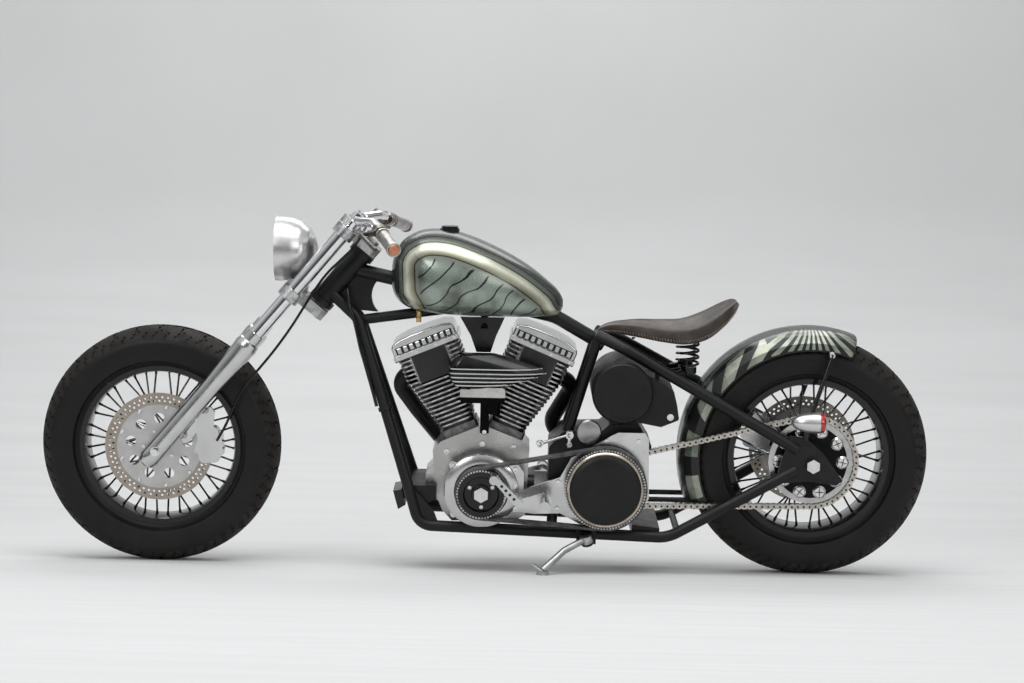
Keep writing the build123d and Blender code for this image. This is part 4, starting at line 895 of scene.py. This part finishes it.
# Chain plates: every second link's outer plates are punched from steel, nickel-plated and riveted over the
# pins, proud of the rollers. The pins' ends are dark.
PITCH = 0.015875
CHAIN_Y = 0.108
PLATE_POINTS = 20
PLATE_END = 0.0072
SPROCKETS = [  # x, z, radius for 48 and 23 teeth
    (0.0, 0.327, PITCH / 2 / sin(pi / 48)),
    (0.5497, 0.2545, PITCH / 2 / sin(pi / 23)),
]


def chain_centres():
    """Every pin's centre, round the rear sprocket and the gearbox's."""
    big, small = SPROCKETS
    span = ((small[0] - big[0]) ** 2 + (small[1] - big[1]) ** 2) ** 0.5
    straight = (span ** 2 - (big[2] - small[2]) ** 2) ** 0.5
    slope = atan2(small[1] - big[1], small[0])
    dip = atan2(big[2] - small[2], straight)
    up, down = slope + pi / 2 - dip, slope - pi / 2 + dip
    arc_small, arc_big = (up - down) * small[2], (2 * pi - up + down) * big[2]
    total = 2 * straight + arc_small + arc_big
    links = 2 * round(total / PITCH / 2)
    centres = []
    for n in range(links):
        run = total * (n + 1 / 6) / links
        if run < straight:
            normal, centre, along = up, big, run
        elif run < straight + arc_small:
            normal, centre, along = up - (run - straight) / small[2], small, 0
        elif run < 2 * straight + arc_small:
            normal, centre, along = down, small, run - straight - arc_small
        else:
            normal, centre, along = down - (run - 2 * straight - arc_small) / big[2], big, 0
        centres.append(Vector((centre[0] + centre[2] * cos(normal) + along * sin(normal), 0,
                               centre[1] + centre[2] * sin(normal) - along * cos(normal))))
    return centres


def plate_outline():
    """A link plate's (x, z) points: a round end about each pin and a waist between them."""
    outline = []
    for step in range(PLATE_POINTS):
        angle = 2 * pi * (step + 0.5) / PLATE_POINTS
        waist = PLATE_END - 0.0022 * max(0.0, abs(sin(angle)) - 0.55) / 0.45
        end = 1 if cos(angle) > 0.28 else -1 if cos(angle) < -0.28 else cos(angle)
        outline.append((PITCH / 2 * end + PLATE_END * cos(angle), waist * sin(angle)))
    return outline


pins = chain_centres()
chain = bmesh.new()
for n, here in enumerate(pins):
    there = pins[(n + 1) % len(pins)]
    slant = Matrix.Rotation(-atan2(there.z - here.z, there.x - here.x), 4, "Y")
    for side in (1, -1):
        if n % 2 == 0:
            link = Matrix.Translation((here + there) / 2 + Vector((0, CHAIN_Y + side * 0.0094, 0))) @ slant
            corners = [chain.verts.new(link @ Vector((x, -0.0008 * side, z))) for x, z in plate_outline()]
            thicken(chain, chain.faces.new(corners), (0, side * 0.0016, 0))
        rivet = add_cone(chain, here + Vector((0, CHAIN_Y + side * 0.0100, 0)), Vector((0, -1, 0)), 10,
                         0.0029, 0.0029, 0.0036)
        for face in {face for vert in rivet for face in vert.link_faces}:
            face.material_index = 1
bmesh.ops.recalc_face_normals(chain, faces=chain.faces)
settle("chain_plates", chain, "bike", [nickel, gloss_enamel], smooth=False)

# Sprocket discs: ten steel discs with crossed slots stand on the black carrier, inside the toothed ring.
# The slots are dark bars laid on each disc.
DISC_RING = (0.086, 10)  # radius, count
ring_of_screws("sprocket_discs", "rear_wheel", around(AXLES["rear"], 0.111, *DISC_RING),
               0.0178, 0.004, "button")
slots = bmesh.new()
for n, point in enumerate(around(AXLES["rear"], 0.115, *DISC_RING)):
    for quarter in (0, 1):
        turn = Matrix.Rotation(0.9 * n + quarter * pi / 2, 4, "Y")
        add_block(slots, Matrix.Translation(point) @ turn, (0.0235, 0.0010, 0.0018))
settle("sprocket_disc_slots", slots, "rear_wheel", [gloss_enamel], smooth=False)

# Spoke nipples: turned brass nuts, blackened, that draw each spoke through the rim. Each points along its
# own spoke.
SPOKES = 40
SPOKE_LEAD = radians(52)
NIPPLE_SEAT = 0.2005
NIPPLE_LENGTH = 0.011
LACES = {  # hub flange y, flange radius, y at the rim
    "front": (0.044, 0.034, 0.008),
    "rear": (0.056, 0.040, 0.012),
}
for end, (flange_y, flange_r, rim_y) in LACES.items():
    nipples = bmesh.new()
    for n in range(SPOKES):
        side = 1 if n % 2 else -1
        lead = 1 if (n // 2) % 2 else -1
        at_rim = 2 * pi * (n + 0.5) / SPOKES
        at_hub = at_rim + lead * SPOKE_LEAD
        start = Vector((flange_r * cos(at_hub), side * flange_y, flange_r * sin(at_hub)))
        tip = Vector((NIPPLE_SEAT * cos(at_rim), side * rim_y, NIPPLE_SEAT * sin(at_rim)))
        run = (start - tip).normalized()
        add_cone(nipples, AXLES[end] + tip + run * NIPPLE_LENGTH / 2, run, 8, 0.0040, 0.0032, NIPPLE_LENGTH)
    settle(end + "_nipples", nipples, end + "_wheel", [gloss_enamel])

# Fuel tank: two pressed steel halves welded along the ridge, sprayed sage and silver over black, with
# pinstripes that follow its outline and fine flowing lines in the field inside them.
TANK = [  # x, half width, bottom, top, in metres
    (1.1325, 0.010, 0.782, 0.806), (1.1290, 0.040, 0.757, 0.838), (1.1160, 0.070, 0.732, 0.872),
    (1.0900, 0.094, 0.712, 0.899), (1.0400, 0.116, 0.699, 0.920), (0.9600, 0.124, 0.692, 0.916),
    (0.8600, 0.113, 0.690, 0.880), (0.7700, 0.086, 0.690, 0.832), (0.7020, 0.050, 0.693, 0.780),
    (0.6800, 0.030, 0.699, 0.757), (0.6700, 0.010, 0.716, 0.738),
]
TANK_POINTS = 56
LINE = (0.004, 0.004, 0.004)
TANK_BANDS = [  # distance in from the outline in metres, colour
    (0.000, (0.018, 0.022, 0.018)), (0.0135, (0.050, 0.060, 0.050)), (0.0145, LINE), (0.0160, LINE),
    (0.0170, (0.075, 0.088, 0.072)), (0.0260, (0.120, 0.135, 0.110)), (0.0270, LINE), (0.0285, LINE),
    (0.0300, (0.300, 0.320, 0.255)), (0.0400, (0.660, 0.660, 0.540)), (0.0500, (0.330, 0.330, 0.240)),
    (0.0590, (0.150, 0.145, 0.100)), (0.0600, LINE), (0.0615, LINE), (0.0630, (0.170, 0.190, 0.155)),
    (0.0900, (0.290, 0.345, 0.300)),
]
BANDS_REACH = 0.1


def eased_row(rows, place):
    """A row between the rows of a table, on a smooth curve through them."""
    first = min(int(place), len(rows) - 2)
    share = place - first
    picked = [rows[min(max(first + n, 0), len(rows) - 1)] for n in (-1, 0, 1, 2)]
    return [0.5 * (2 * b + (c - a) * share + (2 * a - 5 * b + 4 * c - d) * share ** 2
                   + (3 * b - a - 3 * c + d) * share ** 3) for a, b, c, d in zip(*picked)]


def eased_rings(ring, rows, steps):
    """The rings of a table's rows, with a number of steps from each row to the next."""
    return [ring(*eased_row(rows, n / steps)) for n in range(steps * (len(rows) - 1) + 1)]


def power(value, exponent):
    return abs(value) ** exponent * (1 if value >= 0 else -1)


def tank_ring(x, half, bottom, top):
    middle = bottom + 0.40 * (top - bottom)
    ring = []
    for step in range(TANK_POINTS):
        angle = 2 * pi * step / TANK_POINTS
        if sin(angle) < 0:
            z = middle + (middle - bottom) * power(sin(angle), 0.62)
        else:
            z = middle + (top - middle) * power(sin(angle), 0.96)
        ring.append((x, half * power(cos(angle), 0.84), z))
    return ring


def distance(point, line):
    """From a point to the nearest point of a line of points."""
    reach = []
    for start, end in zip(line, line[1:]):
        run = end - start
        share = min(max((point - start).dot(run) / max(run.length_squared, 1e-9), 0), 1)
        reach.append((point - start - run * share).length)
    return min(reach)


tank_mesh = lofted(eased_rings(tank_ring, TANK, 6))
outline = [Vector((1.098, 0.700)), Vector((1.124, 0.745))]
for n in range(4 * 9 + 1):
    row = eased_row(TANK, 1 + n / 4)
    outline.append(Vector((row[0], row[3])))
inset_layer = tank_mesh.verts.layers.float.new("inset")
for vert in tank_mesh.verts:
    vert[inset_layer] = distance(Vector((vert.co.x, vert.co.z)), outline)

tank_paint, tank_tree, tank_shader = new_material("tank_paint", Metallic=0.45, Coat_Weight=0.35,
                                                  Coat_Roughness=0.05)
inset_node = tank_tree.nodes.new("ShaderNodeAttribute")
inset_node.attribute_name = "inset"
inset = inset_node.outputs["Fac"]
ramp = tank_tree.nodes.new("ShaderNodeValToRGB")
for n, (reach, colour) in enumerate(TANK_BANDS):
    place = reach / BANDS_REACH
    stop = ramp.color_ramp.elements[n] if n < 2 else ramp.color_ramp.elements.new(place)
    stop.position = place
    stop.color = (*colour, 1)
tank_tree.links.new(product(tank_tree, inset, 1 / BANDS_REACH), ramp.inputs[0])
flow = tank_tree.nodes.new("ShaderNodeTexWave")
flow.bands_direction = "DIAGONAL"
for label, number in (("Scale", 9.5), ("Distortion", 6.5), ("Detail", 1.6), ("Detail Scale", 0.9)):
    flow.inputs[label].default_value = number
tank_tree.links.new(object_place(tank_tree), flow.inputs["Vector"])
field = smooth_step(tank_tree, inset, 0.066, 0.074)
lines = product(tank_tree, smooth_step(tank_tree, flow.outputs["Fac"], 0.955, 0.99), field)
cloud = product(tank_tree, smooth_step(tank_tree, noise_node(tank_tree, 11.0, 2.0), 0.42, 0.72), field)
tank_colour = mix_node(tank_tree, cloud, ramp.outputs["Color"], (0.085, 0.095, 0.078))
tank_colour = mix_node(tank_tree, lines, tank_colour, (0.006, 0.006, 0.006))
flake = place_group(tank_tree, mottle, Scale=30.0, Smooth=0.24, Rough=0.32)
finish_surface(tank_tree, tank_shader, tank_colour, flake["Roughness"], flake["Height"], 0.02)
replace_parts(settle("fuel_tank_skin", tank_mesh, "bike", [tank_paint]), "fuel_tank")

# Filler cap and petcock: the cap is turned and enamelled black, and the petcock under the tank is cast in
# brass. Both are screwed into the tank.
dress(gloss_enamel, "filler_cap")
brass = coated("petcock_brass", (0.55, 0.36, 0.12), (0.70, 0.48, 0.18), 0.22, 0.38, metallic=1.0, scale=60.0)
dress(brass, "petcock")

# Rear fender: a rolled and crowned steel channel, black over its crown, with sage and silver blocks along
# its sides that fan out into narrow rays towards the tail. A painted highlight lies along the crown's ridge.
fender_paint, fender_tree, fender_shader = new_material("fender_paint", Coat_Weight=0.12, Coat_Roughness=0.08,
                                                        Specular_IOR_Level=0.35)


def paint(operation, *values):
    return math_node(fender_tree, operation, *values)


def paint_step(value, *limits):
    return smooth_step(fender_tree, value, *limits)


fender_x, fender_z, fender_radius, fender_angle = axle_coordinates(fender_tree, AXLES["rear"])
degrees_up = paint("MULTIPLY", fender_angle, 180 / pi)
cubed = paint("POWER", paint("MAXIMUM", degrees_up, 0.0), 3.0)
phase = paint("ADD", paint("MULTIPLY", degrees_up, 1 / 21.0), paint("MULTIPLY", cubed, 1.2e-6))
skew = product(fender_tree, paint("SUBTRACT", fender_radius, 0.318), 16.0, paint_step(degrees_up, 98.0, 62.0),
               paint_step(degrees_up, 5.0, 40.0))
saw = paint("FRACT", paint("ADD", paint("SUBTRACT", phase, skew), 20.0))
blocks = between(fender_tree, saw, (0.02, 0.05), (0.60, 0.57))
ray_turn = paint("ARCTAN2", paint("SUBTRACT", 0.392, fender_z), paint("SUBTRACT", 0.002, fender_x))
ray_saw = paint("FRACT", paint("ADD", paint("MULTIPLY", ray_turn, 180 / pi / 11.0), 20.2))
rays = between(fender_tree, ray_saw, (0.02, 0.06), (0.56, 0.52))
at_tail = paint_step(degrees_up, 68.0, 68.6)
ahead_of_tail = paint("MULTIPLY", blocks, paint("SUBTRACT", 1.0, at_tail))
light = paint("ADD", ahead_of_tail, paint("MULTIPLY", rays, at_tail))
inside = paint("SUBTRACT", paint_step(degrees_up, 15.0, 80.0, 0.336, 0.3495), fender_radius)
light = product(fender_tree, light, paint_step(inside, 0.0, 0.0015), paint_step(fender_radius, 0.300, 0.3015),
                paint_step(degrees_up, 112.0, 108.0))
silver = place_group(fender_tree, mottle, Scale=14.0, Dark=(0.13, 0.16, 0.13), Light=(0.36, 0.38, 0.31),
                     Smooth=0.24, Rough=0.36)
# Painted highlight: a soft sage band along the ridge of the black crown, standing in for its reflection.
crown_painted_highlight = paint_step(paint("ABSOLUTE", paint("SUBTRACT", fender_radius, 0.3465)), 0.0022, 0.0)
crown = mix_node(fender_tree, paint("MULTIPLY", crown_painted_highlight, 0.45), (0.006, 0.0065, 0.006), (0.20, 0.22, 0.18))
fender_colour = mix_node(fender_tree, light, crown, silver["Colour"])
finish_surface(fender_tree, fender_shader, fender_colour, silver["Roughness"], silver["Height"], 0.02)
fender_tree.links.new(paint("MULTIPLY", light, 0.6), fender_shader.inputs["Metallic"])
dress(fender_paint, "rear_fender")

# Saddle: thick brown leather wet-formed over a steel pan, rolled over its edge, with a sewn line inside
# the roll and lacing along the underside. Black studs hold it from below.
SADDLE = [  # x, half width, underside, edge height, dish
    (0.572, 0.010, 0.653, 0.660, 0.000), (0.566, 0.019, 0.651, 0.665, 0.001),
    (0.548, 0.030, 0.650, 0.673, 0.002), (0.520, 0.044, 0.651, 0.678, 0.004),
    (0.462, 0.077, 0.645, 0.680, 0.008), (0.400, 0.107, 0.637, 0.677, 0.012),
    (0.340, 0.123, 0.634, 0.679, 0.015), (0.285, 0.119, 0.648, 0.700, 0.016),
    (0.240, 0.093, 0.680, 0.727, 0.012), (0.214, 0.060, 0.708, 0.742, 0.006),
    (0.203, 0.026, 0.728, 0.744, 0.002), (0.200, 0.008, 0.735, 0.741, 0.000),
]
SADDLE_EDGE = [  # share of the half width, height: 0 at the underside, 1 at the edge, and drop of the seat
    (0.00, 0.04, 0), (0.45, 0.02, 0), (0.80, 0.03, 0), (0.93, 0.12, 0), (0.985, 0.32, 0), (1.0, 0.60, 0),
    (0.995, 0.84, 0), (0.97, 0.97, 0), (0.94, 1.0, 0), (0.905, 0.97, 0), (0.885, 0.915, 0),
    (0.865, 0.955, 0.04), (0.80, 0.94, 0.25), (0.60, 0.93, 0.62), (0.35, 0.93, 0.88), (0.12, 0.93, 1.0),
]
STITCHES = 74
LACED = (1.6, 10.6)  # first and last row of the table
STUDS = ((0.545, 0.020, 0.650), (0.480, 0.055, 0.646))


def saddle_ring(x, half, under, edge, dish):
    left = [(x, share * half, under + (edge - under) * rise - dish * drop)
            for share, rise, drop in SADDLE_EDGE]
    return left + [(x, -y, z) for x, y, z in reversed(left[1:])]


leather, leather_tree, leather_shader = new_material("saddle_leather")
hide = place_group(leather_tree, mottle, Scale=18.0, Dark=(0.022, 0.0155, 0.012), Light=(0.060, 0.044, 0.035),
                   Smooth=0.34, Rough=0.50)
pores = leather_tree.nodes.new("ShaderNodeTexVoronoi")
pores.inputs["Scale"].default_value = 420.0
leather_tree.links.new(object_place(leather_tree), pores.inputs["Vector"])
folds = product(leather_tree, noise_node(leather_tree, 38.0, 6.0, (1, 3, 1)), 3.0)
creases = math_node(leather_tree, "ADD", folds, pores.outputs["Distance"])
# The rolled edges turn lighter: partly scuffed leather, partly a painted highlight along them.
scuffed_and_highlit = place_group(leather_tree, edge_wear, Colour=hide["Colour"], Bare=(0.16, 0.115, 0.085), Amount=0.7)
finish_surface(leather_tree, leather_shader, scuffed_and_highlit["Colour"], hide["Roughness"], creases, 0.35, 0.0012)
saddle_skin = lofted(eased_rings(saddle_ring, SADDLE, 5))
saddle = settle("saddle_leather", saddle_skin, "bike", [leather])
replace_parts(saddle, "seat")

lacing = bmesh.new()
for n in range(STITCHES):
    place = LACED[0] + n * (LACED[1] - LACED[0]) / (STITCHES - 1)
    x, half, under, edge, dish = eased_row(SADDLE, place)
    ahead = eased_row(SADDLE, place + 0.05)
    slope = Matrix.Rotation(-atan2(ahead[2] - under, ahead[0] - x), 4, "Y")
    for side in (1, -1):
        turn = slope @ Matrix.Rotation(side * 0.5, 4, "X") @ Matrix.Rotation(0.5, 4, "Y")
        stitch = Matrix.Translation((x, side * half * 0.975, under + 0.24 * (edge - under))) @ turn
        bmesh.ops.create_uvsphere(lacing, u_segments=8, v_segments=5, radius=1,
                                  matrix=stitch @ Matrix.Diagonal((0.0017, 0.0019, 0.0066, 1)))
lacing_leather = coated("lacing_leather", (0.10, 0.075, 0.058), (0.17, 0.13, 0.10), 0.5, 0.7, scale=90.0)
settle("saddle_lacing", lacing, "bike", [lacing_leather])
stud_heads = [(x, side * half, z, 0.0055, 0.004, "button") for x, half, z in STUDS for side in (1, -1)]
screws("saddle_studs", "bike", stud_heads, gloss_enamel, Vector((0, 0, -1)))

# Saddle springs: two black springs wound from wire, each on a round seat and a bracket from the frame.
SPRING_X, SPRING_Y = 0.330, 0.062
SPRING_LOW, SPRING_HIGH = 0.568, 0.641
SPRING_R = 0.0250
SPRING_TURNS = 3.75
SPRING_STEPS = 110
WIRE_R = 0.0034
WIRE_SIDES = 12


def wound_spring(axis_y):
    """A coil about an upright axis, from a circle of wire swept round and up."""
    coil = bmesh.new()
    start = Matrix.Translation((SPRING_X + SPRING_R, axis_y, SPRING_LOW + 0.004))
    wire = bmesh.ops.create_circle(coil, segments=WIRE_SIDES, radius=WIRE_R,
                                   matrix=start @ Matrix.Rotation(pi / 2, 4, "X"))["verts"]
    rim = list({edge for vert in wire for edge in vert.link_edges})
    rise = (SPRING_HIGH - SPRING_LOW - 0.008) / SPRING_STEPS
    bmesh.ops.spin(coil, geom=wire + rim, cent=(SPRING_X, axis_y, SPRING_LOW), axis=(0, 0, 1),
                   angle=SPRING_TURNS * 2 * pi, dvec=(0, 0, rise), steps=SPRING_STEPS)
    bmesh.ops.holes_fill(coil, edges=[edge for edge in coil.edges if edge.is_boundary], sides=WIRE_SIDES)
    bmesh.ops.recalc_face_normals(coil, faces=coil.faces)
    return coil


for hand, side in (("left", 1), ("right", -1)):
    y = side * SPRING_Y
    spring = settle(f"saddle_spring_{hand}", wound_spring(y), "bike", [gloss_enamel])
    seat = [(SPRING_X, y, SPRING_LOW - 0.014), (SPRING_X, y, SPRING_LOW + 0.003)]
    bracket = [(SPRING_X, y, SPRING_LOW - 0.008), (SPRING_X + 0.050, y + side * 0.034, SPRING_LOW - 0.022)]
    bar_piece(f"spring_seat_{hand}", *seat, 0.021, gloss_enamel, "spring_black")
    bar_piece(f"spring_bracket_{hand}", *bracket, 0.009, gloss_enamel, "spring_black")
    if hand == "left":
        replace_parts(spring, "seat_springs")

# Oil tank: a rolled steel drum across the frame with a pressed end, in bare satin black. Two studs hang it
# from the upper stays.
dress(frame_enamel, "oil_tank")
OIL = Vector((0.508, 0, 0.505))
OIL_END = [(0.1365, 0.0), (0.1375, 0.030), (0.1385, 0.060), (0.1385, 0.068), (0.1405, 0.072), (0.1405, 0.077),
           (0.1375, 0.080), (0.1320, 0.0815)]
turned_piece("oil_tank_end", OIL_END, OIL, frame_enamel, 72)
screws("oil_tank_bolt", "bike", [(0.379, 0.118, 0.442, 0.0095, 0.006, "cap")])

# Tail lamp: a spun bullet body with a red lens, on a stalk from the axle plate. Two button bolts behind it
# hold the fender's strut.
LAMP = Vector((0, 0.152, 0.440))
LAMP_BODY = [(0.0600, 0.0), (0.0595, 0.0030), (0.0565, 0.0090), (0.0500, 0.0150), (0.0400, 0.0205),
             (0.0270, 0.0245), (0.0120, 0.0270), (-0.0040, 0.0280), (-0.0150, 0.0280), (-0.0160, 0.0270),
             (-0.0160, 0.0)]
LAMP_LENS = [(-0.0160, 0.0), (-0.0160, 0.0262), (-0.0200, 0.0262), (-0.0265, 0.0245), (-0.0300, 0.0190),
             (-0.0315, 0.0100), (-0.0320, 0.0)]
red_lens = coated("red_lens", (0.30, 0.004, 0.006), (0.45, 0.010, 0.012), 0.06, 0.14, scale=200.0, wear=0.0,
                  dusty=0.0, coat=1.0)
for name, profile, material, slot, node in (
        ("tail_lamp_body", LAMP_BODY, spun, "lamp_alloy", "tail_lamp"),
        ("tail_lamp_glass", LAMP_LENS, red_lens, "red_lens", "tail_lamp_lens")):
    piece = turned_piece(name, profile, LAMP, material, steps=40, split=40, axis=(1, 0, 0))
    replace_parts(piece, node)
bar_piece("tail_lamp_stalk", (0.020, 0.152, 0.418), (0.020, 0.149, 0.392), 0.0075, gloss_enamel, "lamp_alloy")
screws("strut_bolts", "bike", [(-0.047, 0.112, 0.616, 0.010, 0.006, "button"),
                               (-0.020, 0.121, 0.525, 0.008, 0.005, "button")])

# Bar ends: knurled copper plugs, turned to a slight taper and pushed into both ends of the bar.
copper = coated("copper_plug", (0.42, 0.16, 0.08), (0.62, 0.27, 0.15), 0.25, 0.45, metallic=1.0, scale=240.0,
                bump=0.6)
for hand, side in (("left", 1), ("right", -1)):
    out = Vector((-0.2777, side * 0.9383, -0.2058))
    root = Vector((1.176, side * 0.124, 0.945)) + out * 0.236
    bar_piece(f"bar_plug_{hand}", root, root + out * 0.005, 0.0155, copper, "grip_alloy", "fork", 36, 0.0135)

# Foot controls: machined alloy pegs, plates and levers, bolted to the motor plate. The lever's four
# lightening holes are thin dark discs on its face.
dress(polished_alloy, "foot_controls")
screws("foot_plate_screw", "bike", [(0.778, 0.206, 0.216, 0.0075, 0.005, "cap")])
LEVER_HOLES = ((0.791, 0.2295), (0.802, 0.241), (0.813, 0.252), (0.824, 0.2635))
screws("lever_holes", "bike", [(x, 0.2138, z, 0.0042, 0.0006, "cap") for x, z in LEVER_HOLES], gloss_enamel)

# Fuel fittings: three brass unions, cut from hexagonal bar and screwed into the carburettor's bowl.
screws("fuel_unions", "bike", [(0.927, 0.100, 0.489, 0.0062, 0.016, "hex"),
                               (0.879, 0.100, 0.482, 0.0052, 0.016, "hex"),
                               (0.846, 0.100, 0.492, 0.0048, 0.014, "hex")], brass)

# Brake hose and wiring: black rubber tube, held at the trees and the caliper, and a black sleeve down the
# left downtube. Each is one smooth tube along its route.
RAKE = radians(39.8)


def fork_point(along, ahead, side):
    """A point on the raked fork in mm: up along the legs from the axle, ahead of them, and to the left."""
    along, ahead, side = along / 1000, ahead / 1000, side / 1000
    back = along * sin(RAKE) - ahead * cos(RAKE)
    rise = along * cos(RAKE) + ahead * sin(RAKE)
    return AXLES["front"] + Vector((-back, side, rise))


def cord_piece(name, points, radius, body):
    curve = bpy.data.curves.new(name, "CURVE")
    curve.dimensions = "3D"
    curve.bevel_depth = radius
    curve.bevel_resolution = 3
    curve.use_fill_caps = True
    spline = curve.splines.new("NURBS")
    spline.points.add(len(points) - 1)
    for control, point in zip(spline.points, points):
        control.co = (*(PARKED @ Vector(point)), 1)
    spline.order_u = 3
    spline.use_endpoint_u = True
    spline.resolution_u = 8
    curve.materials.append(gloss_enamel)
    piece = link_object(name, curve)
    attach(piece, body)
    return piece


HOSE = [fork_point(*place) for place in (
    (822, -38, -157), (811, -38, -112), (804, -36, -64), (803, -37, -20), (802, -38, 34), (789, -43, 64),
    (754, -46, 80), (710, -42, 82), (653, -36, 72), (587, -43, 73), (530, -52, 77), (475, -60, 79))]
HOSE += [(1.443, 0.082, 0.589), (1.482, 0.083, 0.541), (1.508, 0.084, 0.510), (1.535, 0.085, 0.468),
         (1.558, 0.086, 0.412), (1.574, 0.086, 0.376), (1.592, 0.084, 0.346)]
hose = cord_piece("brake_hose_rubber", HOSE, 0.0035, "fork")
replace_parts(hose, "brake_hose")
CONDUIT = [(1.250, 0.010, 0.768), (1.249, 0.030, 0.750), (1.245, 0.044, 0.727), (1.238, 0.054, 0.702),
           (1.228, 0.058, 0.674), (1.219, 0.060, 0.637), (1.211, 0.062, 0.601), (1.200, 0.064, 0.567),
           (1.188, 0.069, 0.528), (1.175, 0.074, 0.486), (1.164, 0.080, 0.448)]
conduit = cord_piece("wiring_sleeve", CONDUIT, 0.0045, "bike")
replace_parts(conduit, "wiring_conduit")
